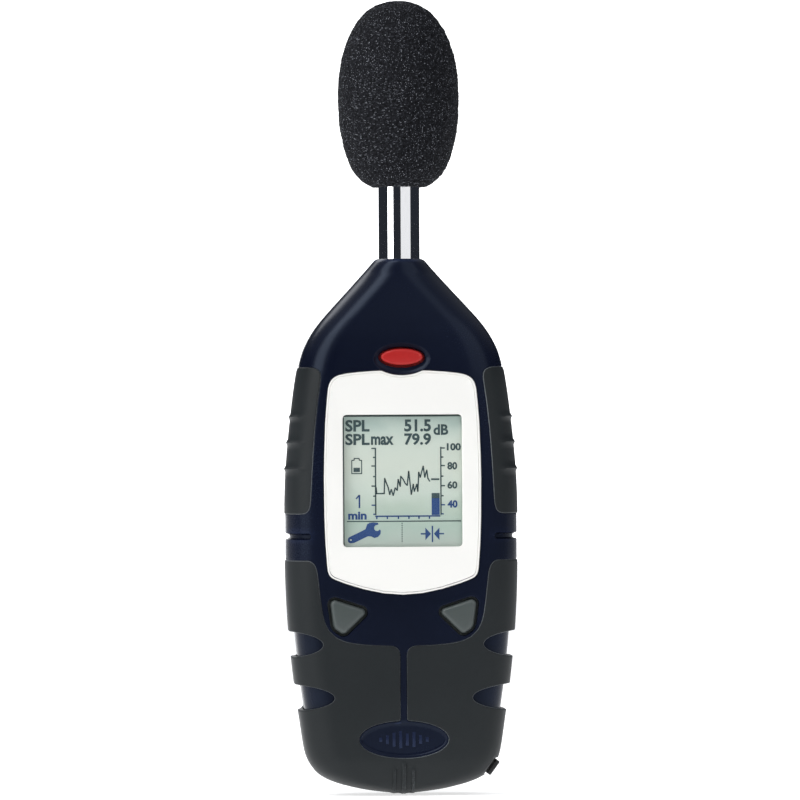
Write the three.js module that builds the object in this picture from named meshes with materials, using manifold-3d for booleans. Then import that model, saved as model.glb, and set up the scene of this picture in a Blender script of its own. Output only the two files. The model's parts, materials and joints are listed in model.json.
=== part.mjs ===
// Hand-held digital sound level meter with a half-inch microphone and a slip-on foam windscreen.
// Millimetres. +Z is up along the microphone axis, -Y is the display side, +X is to the reader's right.
// The origin lies under the middle of the rounded foot of the casing, on the microphone axis.
import * as THREE from "three";
import { mergeVertices } from "three/addons/utils/BufferGeometryUtils.js";
import Module from "manifold-3d";

const wasm = await Module();
wasm.setup();

// ---------------------------------------------------------------- driving dimensions
// Half width of the grips' outer surface against height.
const HALF_WIDTH = [
  [0.25, 3.0], [0.75, 8.3], [1.9, 15.0], [3.9, 21.7], [6.7, 26.6], [9.4, 28.7], [13.0, 30.1], [25.5, 32.1], [45.0, 34.5],
  [75.2, 36.0], [90.0, 36.0], [112.0, 34.6], [131.1, 32.0], [138.5, 29.9], [143.5, 27.1], [154.0, 18.3], [163.4, 9.7],
  [165.9, 7.4],
];
// Half depth of the same surface against height: 31 mm thick over most of its length.
const HALF_DEPTH = [
  [0.25, 7.5], [0.75, 9.7], [1.9, 11.9], [3.9, 13.6], [6.7, 14.8], [9.4, 15.3], [13.0, 15.5], [128.0, 15.5], [138.5, 14.8],
  [143.5, 13.95], [154.0, 11.6], [163.4, 9.35], [165.9, 8.2],
];
const EDGE_X = 11, EDGE_Y = 10; // elliptical rounding of the long edges
const SKIN = -0.3; // hard casing surface, under the grips' surface
const POCKET = -1.9; // floor of the pockets that hold the soft grips
const GRIP_BACK = -1.55; // back of a grip
const CAVITY = -3.3; // inside of the casing walls
const PART_GAP = 0.15; // half the gap between the two casing halves
const FRONT_Y = -15.2, REAR_Y = 15.2; // flat front and rear of the hard casing
const TUBE_R = 6.35, TUBE_BORE_R = 5.6, TUBE_BOTTOM = 148, TUBE_TOP = 215.8; // half-inch preamplifier tube
const MIC_TOP = 229; // tip of the protection grid
const CELL_R = 7.1, CELL_LENGTH = 50.2, CELL_PITCH = 14.9, CELL_Y = 5.6; // AA cells
const BAY = { x: 22.7, z0: 20.5, z1: 77.5, floor: -1.8, wall: 1.2 }; // battery bay inside the rear casing
const COVER = { x: 23.4, z0: 15.0, z1: 82.0, inner: 13.2, pivotY: 15.2, pivotZ: 14.8 };
const KEY_TRAVEL = 0.8;
const PCB = { y0: -7.6, y1: -6.0 };
const CASE_SCREWS = [[-26.7, 30], [26.7, 30], [-20, 136], [20, 136]];
const PCB_SCREWS = [[-19.5, 41], [23.5, 118]];
const WINDOW = { x: 18.4, z0: 76.6, z1: 117.4 }; // visible opening of the display
const START_KEY = { x: 0, z: 135.2, a: 6.75, b: 2.8 };
const DISH = { x: 0, z: 134.7, a: 8.8, b: 4.95 };
const TRIPOD = { z: 98, r: 4.6, bore: 2.6 };
const PORT_TILT = -36 * (Math.PI / 180); // the port facet faces right and down by this angle

// ---------------------------------------------------------------- solids from three.js geometries
const tidy = (geometry) => {
  const g = geometry.index ? geometry.toNonIndexed() : geometry.clone();
  for (const name of Object.keys(g.attributes)) if (name !== "position") g.deleteAttribute(name);
  return mergeVertices(g, 1e-4);
};
function solid(geometry) {
  const g = tidy(geometry), tri = [];
  for (let i = 0; i < g.index.count; i += 3) {
    const [a, b, c] = [g.index.getX(i), g.index.getX(i + 1), g.index.getX(i + 2)];
    if (a !== b && b !== c && a !== c) tri.push(a, b, c);
  }
  return new wasm.Manifold(
    new wasm.Mesh({ numProp: 3, vertProperties: new Float32Array(g.attributes.position.array), triVerts: new Uint32Array(tri) }),
  );
}
function geometryOf(manifold) {
  const m = manifold.getMesh(), n = m.numProp, v = new Float32Array(m.numVert * 3);
  for (let i = 0; i < m.numVert; i++) v.set(m.vertProperties.subarray(i * n, i * n + 3), i * 3);
  const g = new THREE.BufferGeometry();
  g.setAttribute("position", new THREE.BufferAttribute(v, 3));
  g.setIndex(new THREE.BufferAttribute(new Uint32Array(m.triVerts), 1));
  g.computeVertexNormals();
  return g;
}
const union = (...s) => s.reduce((a, b) => a.add(b));
const cut = (a, ...s) => s.reduce((x, y) => x.subtract(y), a);

const boxGeometry = (x0, x1, y0, y1, z0, z1) =>
  new THREE.BoxGeometry(x1 - x0, y1 - y0, z1 - z0).translate((x0 + x1) / 2, (y0 + y1) / 2, (z0 + z1) / 2);
const box = (...a) => solid(boxGeometry(...a));
// Cylinder along Y between y0 and y1, or along Z between z0 and z1.
const rodY = (x, z, r, y0, y1, n = 10) =>
  solid(new THREE.CylinderGeometry(r, r, y1 - y0, n).translate(x, (y0 + y1) / 2, z));
const rodZ = (x, y, r, z0, z1, n = 20) =>
  solid(new THREE.CylinderGeometry(r, r, z1 - z0, n).rotateX(Math.PI / 2).translate(x, y, (z0 + z1) / 2));
// A flat outline in X and Z, carried along Y.
const counterClockwise = (p) => (THREE.ShapeUtils.area(p.map(([x, y]) => new THREE.Vector2(x, y))) < 0 ? [...p].reverse() : p);
function prismGeometry(points, y0, y1, holes = []) {
  const shape = new THREE.Shape(counterClockwise(points).map(([x, z]) => new THREE.Vector2(x, z)));
  for (const h of holes) shape.holes.push(new THREE.Path(counterClockwise(h).map(([x, z]) => new THREE.Vector2(x, z))));
  return new THREE.ExtrudeGeometry(shape, { depth: y1 - y0, bevelEnabled: false, steps: 1 }).rotateX(Math.PI / 2).translate(0, y1, 0);
}
const prism = (...a) => solid(prismGeometry(...a));
const ellipse = (x, z, a, b, n = 24) =>
  Array.from({ length: n }, (_, i) => [x + a * Math.cos((2 * Math.PI * i) / n), z + b * Math.sin((2 * Math.PI * i) / n)]);
const mirrored = (points) => points.map(([x, z]) => [-x, z]);
const rounded = (x0, x1, z0, z1, r, n = 4) => {
  const p = [];
  for (const [cx, cz, a] of [[x1 - r, z1 - r, 0], [x0 + r, z1 - r, 1], [x0 + r, z0 + r, 2], [x1 - r, z0 + r, 3]])
    for (let i = 0; i <= n; i++) {
      const t = ((a + i / n) * Math.PI) / 2;
      p.push([cx + r * Math.cos(t), cz + r * Math.sin(t)]);
    }
  return p;
};
// A polygon with its corners rounded off by arcs of the given radii.
function filleted(corners, n = 4) {
  const out = [];
  corners.forEach(([x, z, r], i) => {
    const a = corners[(i + corners.length - 1) % corners.length], b = corners[(i + 1) % corners.length];
    const p = new THREE.Vector2(x, z), u = new THREE.Vector2(a[0], a[1]).sub(p).normalize(), v = new THREE.Vector2(b[0], b[1]).sub(p).normalize();
    if (!r) return out.push([x, z]);
    const half = Math.acos(THREE.MathUtils.clamp(u.dot(v), -1, 1)) / 2, reach = r / Math.tan(half);
    const centre = u.clone().add(v).normalize().multiplyScalar(r / Math.sin(half)).add(p);
    const s = u.clone().multiplyScalar(reach).add(p).sub(centre), e = v.clone().multiplyScalar(reach).add(p).sub(centre);
    const a0 = Math.atan2(s.y, s.x);
    let da = Math.atan2(e.y, e.x) - a0;
    while (da > Math.PI) da -= 2 * Math.PI;
    while (da < -Math.PI) da += 2 * Math.PI;
    for (let k = 0; k <= n; k++) out.push([centre.x + r * Math.cos(a0 + (da * k) / n), centre.y + r * Math.sin(a0 + (da * k) / n)]);
  });
  return out;
}
// A closed outline moved outward by d (inward if negative).
function grown(points, d) {
  const p = counterClockwise(points), n = p.length;
  return p.map(([x, z], i) => {
    const a = p[(i + n - 1) % n], b = p[(i + 1) % n];
    const l1 = Math.hypot(x - a[0], z - a[1]), l2 = Math.hypot(b[0] - x, b[1] - z);
    const n1 = [(z - a[1]) / l1, -(x - a[0]) / l1], n2 = [(b[1] - z) / l2, -(b[0] - x) / l2];
    const m = [n1[0] + n2[0], n1[1] + n2[1]], k = 1 + n1[0] * n2[0] + n1[1] * n2[1];
    return [x + (d * m[0]) / Math.max(k, 0.35), z + (d * m[1]) / Math.max(k, 0.35)];
  });
}

// ---------------------------------------------------------------- the casing's form
const lookup = (table, z) => {
  if (z <= table[0][0]) return table[0][1];
  for (let i = 1; i < table.length; i++)
    if (z <= table[i][0]) {
      const [z0, a] = table[i - 1], [z1, b] = table[i];
      return a + ((b - a) * (z - z0)) / (z1 - z0);
    }
  return table[table.length - 1][1];
};
const BOTTOM = HALF_WIDTH[0][0], TOP = HALF_WIDTH[HALF_WIDTH.length - 1][0];
// The table's curve moved outward by d, measured square to the curve.
function offsetCurve(table, z, d) {
  if (d === 0) return lookup(table, z);
  const r = Math.abs(d), grow = d > 0;
  let best = grow ? -1e9 : 1e9;
  for (let s = -r; s <= r + 1e-9; s += r / 24) {
    const at = z + s;
    if (at < BOTTOM - 1e-6 || at > TOP + 1e-6) continue;
    const reach = Math.sqrt(Math.max(0, r * r - s * s)), v = lookup(table, at);
    best = grow ? Math.max(best, v + reach) : Math.min(best, v - reach);
  }
  return best;
}
function section(z, d, perCorner) {
  const w = offsetCurve(HALF_WIDTH, z, d), h = offsetCurve(HALF_DEPTH, z, d);
  const rx = Math.min(Math.max(EDGE_X + d, 2), w * 0.97), ry = Math.min(Math.max(EDGE_Y + d, 2), h * 0.97);
  const p = [];
  for (const [sx, sy, q] of [[1, 1, 0], [-1, 1, 1], [-1, -1, 2], [1, -1, 3]])
    for (let i = 0; i <= perCorner; i++) {
      const t = ((q + i / perCorner) * Math.PI) / 2;
      p.push([sx * (w - rx) + rx * Math.cos(t), sy * (h - ry) + ry * Math.sin(t)]);
    }
  return p;
}
// The whole casing form, its surface moved outward by d, as a closed loft of rounded sections.
function form(d, perCorner = 4) {
  const levels = HALF_WIDTH.map(([z]) => z).filter((z) => z > BOTTOM - d + 0.05 && z < TOP + d - 0.05);
  levels.unshift(BOTTOM - d);
  levels.push(TOP + d);
  const rings = levels.map((z) => section(z, d, perCorner)), n = rings[0].length, v = [], tri = [];
  rings.forEach((r, k) => r.forEach(([x, y]) => v.push(x, y, levels[k])));
  for (let k = 0; k < rings.length - 1; k++)
    for (let i = 0; i < n; i++) {
      const j = (i + 1) % n, a = k * n + i, b = k * n + j, c = b + n, e = a + n;
      tri.push(a, b, c, a, c, e);
    }
  const low = v.length / 3;
  v.push(0, 0, levels[0], 0, 0, levels[levels.length - 1]);
  const last = (rings.length - 1) * n;
  for (let i = 0; i < n; i++) {
    const j = (i + 1) % n;
    tri.push(low, j, i, low + 1, last + i, last + j);
  }
  const g = new THREE.BufferGeometry();
  g.setAttribute("position", new THREE.Float32BufferAttribute(v, 3));
  g.setIndex(tri);
  return solid(g);
}
const frontHalf = box(-60, 60, -60, -PART_GAP, -20, 260);
const rearHalf = box(-60, 60, PART_GAP, 60, -20, 260);

// ---------------------------------------------------------------- outlines on the front, in X and Z
const LOWER_INNER = [ // right-hand edge of the bare area around the soft keys, down to the middle groove
  [29.4, 72.6], [27.2, 71.2], [26.4, 69.0], [25.5, 61.0], [24.7, 55.6], [23.2, 51.3], [20.5, 48.5], [15.4, 46.9], [8.5, 46.3],
  [2.4, 45.9], [0.95, 43.8],
];
const BADGE = { z: 17.15, a: 13.8, b: 5.7 };
const badgeArc = () => {
  const start = Math.acos(0.95 / BADGE.a), p = [];
  for (let i = 0; i <= 9; i++) {
    const t = start - (i / 9) * (start + Math.PI / 2);
    p.push([BADGE.a * Math.cos(t), BADGE.z + BADGE.b * Math.sin(t)]);
  }
  return p;
};
const lowerRight = [...LOWER_INNER, ...badgeArc()];
const LOWER_REGION = [[42, 72.6], ...lowerRight, ...mirrored(lowerRight).reverse().slice(1), [-42, 72.6], [-42, -6], [42, -6]];
const UPPER_REGION = [
  [42, 132.4], [27.4, 132.1], [25.1, 130.8], [25.4, 126.0], [26.9, 113.0], [28.3, 91.6], [28.9, 88.3], [30.9, 86.5], [42, 86.5],
];
const scallop = (z, tip, b) => ellipse(41, z, 41 - tip, b, 16); // finger notches in the side of the lower grip
const SCALLOPS = [scallop(46.5, 24.9, 4.25), scallop(30.0, 21.4, 4.35)];
const BEZEL_RIGHT = [
  [0, 61.6], [8, 62.4], [15, 64.2], [21.4, 66.6], [23.0, 67.7], [23.6, 69.7], [24.4, 86.0], [24.5, 98.0], [24.0, 115.0],
  [22.9, 126.4], [21.9, 128.6], [18.8, 130.15], [12.5, 130.9], [6.1, 131.2],
];
const notch = [];
for (let i = 1; i < 6; i++) {
  const t = -Math.PI / 2 + (1 - i / 3) * 0.755;
  notch.push([DISH.a * Math.cos(t), DISH.z + DISH.b * Math.sin(t)]);
}
const BEZEL = [...BEZEL_RIGHT, ...notch, ...mirrored(BEZEL_RIGHT.slice(1)).reverse()];
const SOFT_KEY = [[22.9, 61.0, 1.5], [10.6, 57.0, 1.3], [18.4, 49.4, 1.7], [21.6, 51.6, 3.0]]; // right-hand key, rounded corners
const SOFT_CENTRE = [18.0, 55.8];
const softKey = (d) => grown(filleted(SOFT_KEY, 2), d);
const keyOval = (d, n = 20) => ellipse(START_KEY.x, START_KEY.z, START_KEY.a + d, START_KEY.b + d, n);

// ---------------------------------------------------------------- node list
const meter = new THREE.Group();
meter.name = "sound_level_meter";
const materials = {
  casing: new THREE.MeshStandardMaterial({ color: 0x101427, roughness: 0.42, metalness: 0 }),
  grip: new THREE.MeshStandardMaterial({ color: 0x2b2f31, roughness: 0.8, metalness: 0 }),
  bezel: new THREE.MeshStandardMaterial({ color: 0xf4f4f1, roughness: 0.35, metalness: 0 }),
  window: new THREE.MeshStandardMaterial({ color: 0xe8f2ee, roughness: 0.05, metalness: 0, transparent: true, opacity: 0.3 }),
  lcd: new THREE.MeshStandardMaterial({ color: 0xb9c9bf, roughness: 0.3, metalness: 0 }),
  startKey: new THREE.MeshStandardMaterial({ color: 0xb3221f, roughness: 0.5, metalness: 0 }),
  softKey: new THREE.MeshStandardMaterial({ color: 0x5c6463, roughness: 0.55, metalness: 0 }),
  blackRubber: new THREE.MeshStandardMaterial({ color: 0x121314, roughness: 0.85, metalness: 0 }),
  foam: new THREE.MeshStandardMaterial({ color: 0x1b1c1e, roughness: 1, metalness: 0 }),
  chrome: new THREE.MeshStandardMaterial({ color: 0xd6d8da, roughness: 0.06, metalness: 1 }),
  steel: new THREE.MeshStandardMaterial({ color: 0xb4b6b8, roughness: 0.3, metalness: 1 }),
  brass: new THREE.MeshStandardMaterial({ color: 0xb08d4a, roughness: 0.35, metalness: 1 }),
  board: new THREE.MeshStandardMaterial({ color: 0x1e5a36, roughness: 0.5, metalness: 0 }),
  chip: new THREE.MeshStandardMaterial({ color: 0x1a1a1b, roughness: 0.6, metalness: 0 }),
  flex: new THREE.MeshStandardMaterial({ color: 0x9a6a24, roughness: 0.4, metalness: 0 }),
  cell: new THREE.MeshStandardMaterial({ color: 0x3b3f45, roughness: 0.35, metalness: 0.4 }),
};
function place(parent, name, material, shape, at = [0, 0, 0], turn = [0, 0, 0]) {
  const mesh = new THREE.Mesh(shape.isBufferGeometry ? shape : geometryOf(shape), material);
  mesh.name = name;
  mesh.position.set(...at);
  mesh.rotation.set(...turn);
  parent.add(mesh);
  return mesh;
}

// ---------------------------------------------------------------- casing halves
const skin = form(SKIN), cavity = form(CAVITY, 3);
const groovedRegion = (region, y0, y1) => prism(region, y0, y1);
const pocketShell = cut(form(6, 2), form(POCKET));
const upperLeft = mirrored(UPPER_REGION);
const frontPockets = pocketShell.intersect(
  union(groovedRegion(LOWER_REGION, -30, 0.01), prism(UPPER_REGION, -30, 0.01), prism(upperLeft, -30, 0.01)),
);
// On the rear the lower grip leaves the battery cover bare.
const REAR_LOWER = [[42, 72.6], [31.2, 72.6], [29.6, 71.9], [29.0, 70.3], [29.0, 15.0], [28.2, 13.2], [26.4, 11.9], [0, 8.4]];
const REAR_LOWER_REGION = [...REAR_LOWER, ...mirrored(REAR_LOWER).reverse().slice(1), [-42, -6], [42, -6]];
const rearPockets = pocketShell.intersect(
  union(prism(REAR_LOWER_REGION, -0.01, 30), prism(UPPER_REGION, -0.01, 30), prism(upperLeft, -0.01, 30)),
);
const sideSlots = cut(
  box(-60, 60, -30, 30, 78.8, 80.9), form(-1.6), box(-28, 28, -30, 30, 70, 90),
);
const neck = rodZ(0, 0, 9.6, 146.5, 164, 20);
const neckBore = union(
  rodZ(0, 0, TUBE_R + 0.3, 140, 170, 24),
  rodZ(0, 0, 8.4, 140, 153.9, 20),
  rodZ(0, 0, 8.2, 157.2, 159.4, 20),
);
const sealGroove = cut(form(-2.15, 2), form(-3.05, 2)).intersect(box(-60, 60, -0.8, 0.8, -5, 158));
// The port facet: its own frame, with local +X square out of the facet and local Z along it.
const port = new THREE.Group();
port.position.set(27.55, 0, 8.35);
port.rotation.set(0, -PORT_TILT, 0);
port.updateMatrixWorld(true);
const inPort = (geometry) => solid(geometry.clone().applyMatrix4(port.matrixWorld));
const portCuts = union(
  inPort(boxGeometry(0, 12, -10.4, 10.4, -3.1, 3.1)), // the facet itself
  inPort(boxGeometry(-12, 0.01, -6.7, 6.7, -2.15, 2.15)), // the way through the wall
  inPort(boxGeometry(-2.4, 0.01, 7.5, 9.9, -2.15, 2.15)), // socket of the flap's anchor
);

let front = cut(skin.intersect(frontHalf), cavity);
// posts and bosses rise from the wall into the cavity
const frontPosts = union(
  ...CASE_SCREWS.map(([x, z]) => rodY(x, z, 2.7, -14, -PART_GAP)),
  ...PCB_SCREWS.map(([x, z]) => rodY(x, z, 2.3, -13.6, PCB.y0 - 0.1)),
  neck.intersect(frontHalf),
).intersect(form(-1.0)).intersect(frontHalf);
front = union(front, frontPosts);
front = cut(
  front,
  frontPockets,
  sideSlots,
  prism(grown(BEZEL, 0.07), -20, -13.4),
  prism(rounded(-20.6, 20.6, 74.4, 119.6, 1), -20, -10),
  prism(ellipse(DISH.x, DISH.z, DISH.a, DISH.b), -20, -14.4),
  prism(keyOval(0.4), -20, -10),
  prism(keyOval(3.5), -12.3, -9),
  prism(softKey(0.35), -20, -10),
  prism(mirrored(softKey(0.35)), -20, -10),
  neckBore,
  sealGroove,
  portCuts,
  ...CASE_SCREWS.map(([x, z]) => rodY(x, z, 1.3, -7.2, 1)),
  ...PCB_SCREWS.map(([x, z]) => rodY(x, z, 1.05, -12.2, -7)),
);
place(meter, "front_housing", materials.casing, front);

let rear = cut(skin.intersect(rearHalf), cavity);
const bayOuter = box(-BAY.x - BAY.wall, BAY.x + BAY.wall, BAY.floor - 1.3, 14, BAY.z0 - BAY.wall, BAY.z1 + BAY.wall);
const rearPosts = union(
  ...CASE_SCREWS.map(([x, z]) => rodY(x, z, 3.2, PART_GAP, 14)),
  rodY(0, TRIPOD.z, 6.6, 4.4, 14, 16),
  neck.intersect(rearHalf),
).intersect(form(-1.0)).intersect(rearHalf);
rear = union(rear, rearPosts, bayOuter);
const bayRibs = union(box(6.7, 8.2, BAY.floor - 0.5, 1, 21.5, 76.5), box(-8.2, -6.7, BAY.floor - 0.5, 1, 21.5, 76.5));
rear = cut(
  rear,
  rearPockets,
  sideSlots,
  box(-BAY.x, BAY.x, BAY.floor, 20, BAY.z0, BAY.z1), // the bay
  prism(rounded(-COVER.x - 0.3, COVER.x + 0.3, COVER.z0 - 0.3, COVER.z1 + 0.3, 2.3), COVER.inner - 0.3, 20), // seat of the cover
  box(-14.8, -7.7, 11.9, 14.4, 12.5, 18.4), // slots for the cover's two hooks
  box(7.7, 14.8, 11.9, 14.4, 12.5, 18.4),
  prism(ellipse(0, 83.4, 7, 3.6), 14.0, 20), // thumb scoop above the cover
  neckBore,
  sealGroove,
  portCuts,
  rodY(0, TRIPOD.z, TRIPOD.r + 0.25, 5.8, 20, 20),
  ...CASE_SCREWS.map(([x, z]) => union(rodY(x, z, 1.4, -1, 20), rodY(x, z, 2.5, 8, 20))),
);
rear = union(rear, bayRibs);
place(meter, "rear_housing", materials.casing, rear);

// Thin cord seal in the joint between the halves, in two lengths from the port to the neck.
const cordSeal = cut(form(-2.4, 2), form(-2.85, 2)).intersect(box(-60, 60, -0.5, 0.5, -5, 157));
const portCorner = inPort(boxGeometry(-14, 12, -8, 8, -2.6, 2.6));
const rightOfPort = union(box(25.4, 60, -5, 5, 11, 200), box(0, 60, -5, 5, 30, 200));
place(meter, "seal_left", materials.blackRubber, cut(cordSeal, portCorner, rightOfPort));
place(meter, "seal_right", materials.blackRubber, cut(cordSeal, portCorner).intersect(rightOfPort));

// ---------------------------------------------------------------- soft grips
const gripShell = cut(form(0), form(GRIP_BACK));
const ribZ = [116.8, 108.9, 100.7];
const ribShell = cut(form(0.5), form(-0.6));
const sideRibs = ribShell.intersect(union(...ribZ.flatMap((z) => [box(30.2, 42, -30, 30, z - 0.65, z + 0.65), box(-42, -30.2, -30, 30, z - 0.65, z + 0.65)])));
const footRibs = cut(form(0.25), form(-0.6)).intersect(
  union(box(-0.7, 0.7, -30, 30, -1, 9.6), box(-3.8, -2.4, -30, 30, -1, 7.8), box(2.4, 3.8, -30, 30, -1, 7.8)),
);
const gripFront = box(-60, 60, -60, -0.3, -20, 260), gripRear = box(-60, 60, 0.3, 60, -20, 260);
const portRelief = inPort(boxGeometry(-3, 12, -11, 11, -3.4, 3.4));
const scallopCuts = (d) => union(...SCALLOPS.flatMap((s) => [prism(grown(s, d), -30, 30), prism(grown(mirrored(s), d), -30, 30)]));
place(meter, "lower_grip_front", materials.grip,
  cut(union(gripShell, footRibs).intersect(gripFront).intersect(prism(grown(LOWER_REGION, -0.2), -30, 5)), scallopCuts(0), portRelief));
place(meter, "lower_grip_rear", materials.grip,
  cut(union(gripShell, footRibs).intersect(gripRear).intersect(prism(grown(REAR_LOWER_REGION, -0.2), -5, 30)),
    union(...SCALLOPS.flatMap((s) => [prism(s, -5, 10), prism(mirrored(s), -5, 10)])), portRelief));
const upperGrip = union(gripShell, sideRibs);
for (const [side, region] of [["right", UPPER_REGION], ["left", upperLeft]])
  for (const [face, half] of [["front", gripFront], ["rear", gripRear]])
    place(meter, `upper_grip_${face}_${side}`, materials.grip, upperGrip.intersect(half).intersect(prism(grown(region, -0.2), -30, 30)));

// ---------------------------------------------------------------- display
place(meter, "display_bezel", materials.bezel,
  cut(prism(grown(BEZEL, -0.25), -15.7, -13.7),
    prism(rounded(-WINDOW.x, WINDOW.x, WINDOW.z0, WINDOW.z1, 1.2), -20, -10),
    prism(rounded(-19.8, 19.8, 75.2, 118.8, 1.2), -14.6, -10)));
place(meter, "display_window", materials.window, prism(rounded(-19.5, 19.5, 75.5, 118.5, 1), -14.4, -13.5));
place(meter, "lcd_panel", materials.lcd, boxGeometry(-20.2, 20.2, -13.2, -11.2, 74.8, 119.2));
place(meter, "lcd_backlight", materials.bezel, boxGeometry(-20, 20, -10.9, -8.6, 75, 119));
// The flex from the display's lower edge, folded back to its connector on the board.
const ribbonLine = [[-11.8, 74.5], [-11.8, 71.4], [-11.4, 70.4], [-9.4, 69.2], [-8.8, 69.2], [-8.8, 66.4], [-8.5, 66.4], [-8.5, 69.5], [-9.3, 69.5], [-11.1, 70.65], [-11.5, 71.5], [-11.5, 74.5]];
place(meter, "lcd_ribbon", materials.flex,
  new THREE.ExtrudeGeometry(new THREE.Shape(counterClockwise(ribbonLine).map(([y, z]) => new THREE.Vector2(y, z))), { depth: 22, bevelEnabled: false })
    .applyMatrix4(new THREE.Matrix4().set(0, 0, 1, -11, 1, 0, 0, 0, 0, 1, 0, 0, 0, 0, 0, 1)));

// ---------------------------------------------------------------- board
const boardOutline = [[-23.4, 23], [23.4, 23], [23.4, 36], [26.2, 37.5], [26.2, 126], [16.4, 129], [16.4, 144], [-16.4, 144], [-16.4, 129], [-26.2, 126], [-26.2, 37.5], [-23.4, 36]];
place(meter, "main_board", materials.board, cut(prism(boardOutline, PCB.y0, PCB.y1), ...PCB_SCREWS.map(([x, z]) => rodY(x, z, 1.25, -10, 0))));
place(meter, "processor_chip", materials.chip, boxGeometry(-7, 7, PCB.y1 + 0.1, PCB.y1 + 1.5, 92, 106));
place(meter, "ribbon_connector", materials.chip, boxGeometry(-12.5, 12.5, PCB.y0 - 0.6, PCB.y0 - 0.1, 64.5, 70.5));

// ---------------------------------------------------------------- keys, mats and switches
const KEYS = [
  { name: "start", x: START_KEY.x, z: START_KEY.z, cap: (d) => keyOval(d), top: -15.6, material: materials.startKey },
  { name: "left", x: -SOFT_CENTRE[0], z: SOFT_CENTRE[1], cap: (d) => mirrored(softKey(d)), top: -16.1, material: materials.softKey },
  { name: "right", x: SOFT_CENTRE[0], z: SOFT_CENTRE[1], cap: (d) => softKey(d), top: -16.1, material: materials.softKey },
];
for (const k of KEYS) {
  const flange = -11.9;
  place(meter, k.name === "start" ? "start_key" : `${k.name}_soft_key`, k.material, union(
    prism(k.cap(-0.25), k.top, k.top + 0.3),
    prism(k.cap(0), k.top + 0.25, flange + 0.1),
    prism(k.cap(1.0), flange, flange + 0.8),
    rodY(k.x, k.z, 1.5, flange + 0.7, -10.4, 10),
  ));
  place(meter, `${k.name}_switch_plunger`, materials.steel, new THREE.CylinderGeometry(1.1, 1.1, 1.6, 10), [k.x, -9.5, k.z]);
  place(meter, `${k.name}_switch_body`, materials.chip, cut(box(k.x - 2.6, k.x + 2.6, -9.25, PCB.y0 - 0.1, k.z - 2.6, k.z + 2.6), rodY(k.x, k.z, 1.4, -12, -7.9, 10)));
}
place(meter, "start_key_mat", materials.blackRubber, prism(keyOval(3.0), -12.05, -11.3, [keyOval(1.3)]));
const matOutline = filleted([[-26, 63.5, 3], [26, 63.5, 3], [26, 47.2, 3], [-26, 47.2, 3]], 4);
place(meter, "soft_key_mat", materials.blackRubber, prism(matOutline, -12.05, -11.3, [softKey(1.3), mirrored(softKey(1.3))]).intersect(form(-3.6, 3)));

// ---------------------------------------------------------------- microphone and preamplifier
const lathe = (profile, n = 24) => new THREE.LatheGeometry(profile.map(([r, z]) => new THREE.Vector2(r, z)), n).rotateX(Math.PI / 2);
place(meter, "preamp_tube", materials.chrome, lathe([
  [TUBE_BORE_R, TUBE_BOTTOM], [TUBE_R, TUBE_BOTTOM], [TUBE_R, TUBE_TOP], [TUBE_BORE_R, TUBE_TOP], [TUBE_BORE_R, TUBE_BOTTOM],
]));
place(meter, "preamp_bush", materials.chip, lathe([[6.65, 147.4], [8.0, 147.4], [8.0, 153.6], [6.65, 153.6], [6.65, 147.4]], 20));
place(meter, "preamp_o_ring", materials.blackRubber, new THREE.TorusGeometry(7.3, 0.6, 5, 20), [0, 0, 158.3]);
place(meter, "preamp_board", materials.board, new THREE.BoxGeometry(8.6, 1.0, 56), [0, 0, 180]);
const flexLine = [[-3.0, 146.9], [-3.0, 145.4], [-4.4, 143.6], [-5.7, 142.6], [-5.7, 138.5], [-5.4, 138.5], [-5.4, 142.4], [-4.1, 143.4], [-2.7, 145.2], [-2.7, 146.9]];
place(meter, "preamp_flex", materials.flex,
  new THREE.ExtrudeGeometry(new THREE.Shape(counterClockwise(flexLine).map(([y, z]) => new THREE.Vector2(y, z))), { depth: 6, bevelEnabled: false })
    .applyMatrix4(new THREE.Matrix4().set(0, 0, 1, -3, 1, 0, 0, 0, 0, 1, 0, 0, 0, 0, 0, 1)));
place(meter, "preamp_contact", materials.brass, lathe([[0, 211.2], [1.2, 211.2], [1.2, 209.0], [4.9, 209.0], [4.9, 210.2], [1.9, 210.2], [1.9, 213.2], [0, 213.2]], 12));
// Capsule: a cup whose threaded spigot enters the tube.
place(meter, "mic_capsule", materials.steel, lathe([
  [4.3, 213.6], [5.3, 213.6], [5.3, 216.1], [TUBE_R, 216.1], [TUBE_R, 223.2], [5.2, 223.2], [5.2, 217.8], [4.3, 217.8], [4.3, 213.6],
]));
place(meter, "mic_backplate", materials.brass, lathe([[0, 218.3], [4.6, 218.3], [4.6, 221.2], [0, 221.2]], 20));
place(meter, "mic_diaphragm", materials.steel, lathe([[0, 221.5], [4.9, 221.5], [4.9, 221.9], [0, 221.9]], 20));
const gridShell = solid(lathe([[5.5, 223.5], [TUBE_R, 223.5], [TUBE_R, 228.6], [5.95, MIC_TOP], [0, MIC_TOP], [0, 228.2], [5.5, 228.2], [5.5, 223.5]]));
const gridSlots = [];
for (let i = 0; i < 3; i++) gridSlots.push(solid(boxGeometry(-7, 7, -0.4, 0.4, 224.4, 227.6).rotateZ((i * Math.PI) / 3)));
place(meter, "mic_grid", materials.steel, cut(gridShell, ...gridSlots));

// Egg-shaped open-cell foam with a blind bore for the microphone.
const FOAM_BORE = TUBE_R + 0.3;
const foamProfile = [
  [FOAM_BORE, 188.4], [7.8, 187.8], [11.6, 189.8], [14.4, 193.0], [16.8, 199.2], [18.2, 205.5], [18.9, 214.0], [18.85, 219.0],
  [17.9, 227.4], [16.1, 233.4], [12.8, 239.6], [9.0, 243.4], [4.6, 245.4], [0, 245.9], [0, 229.5], [FOAM_BORE, 229.5],
  [FOAM_BORE, 188.4],
];
place(meter, "windscreen", materials.foam, lathe(foamProfile, 20));

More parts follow.
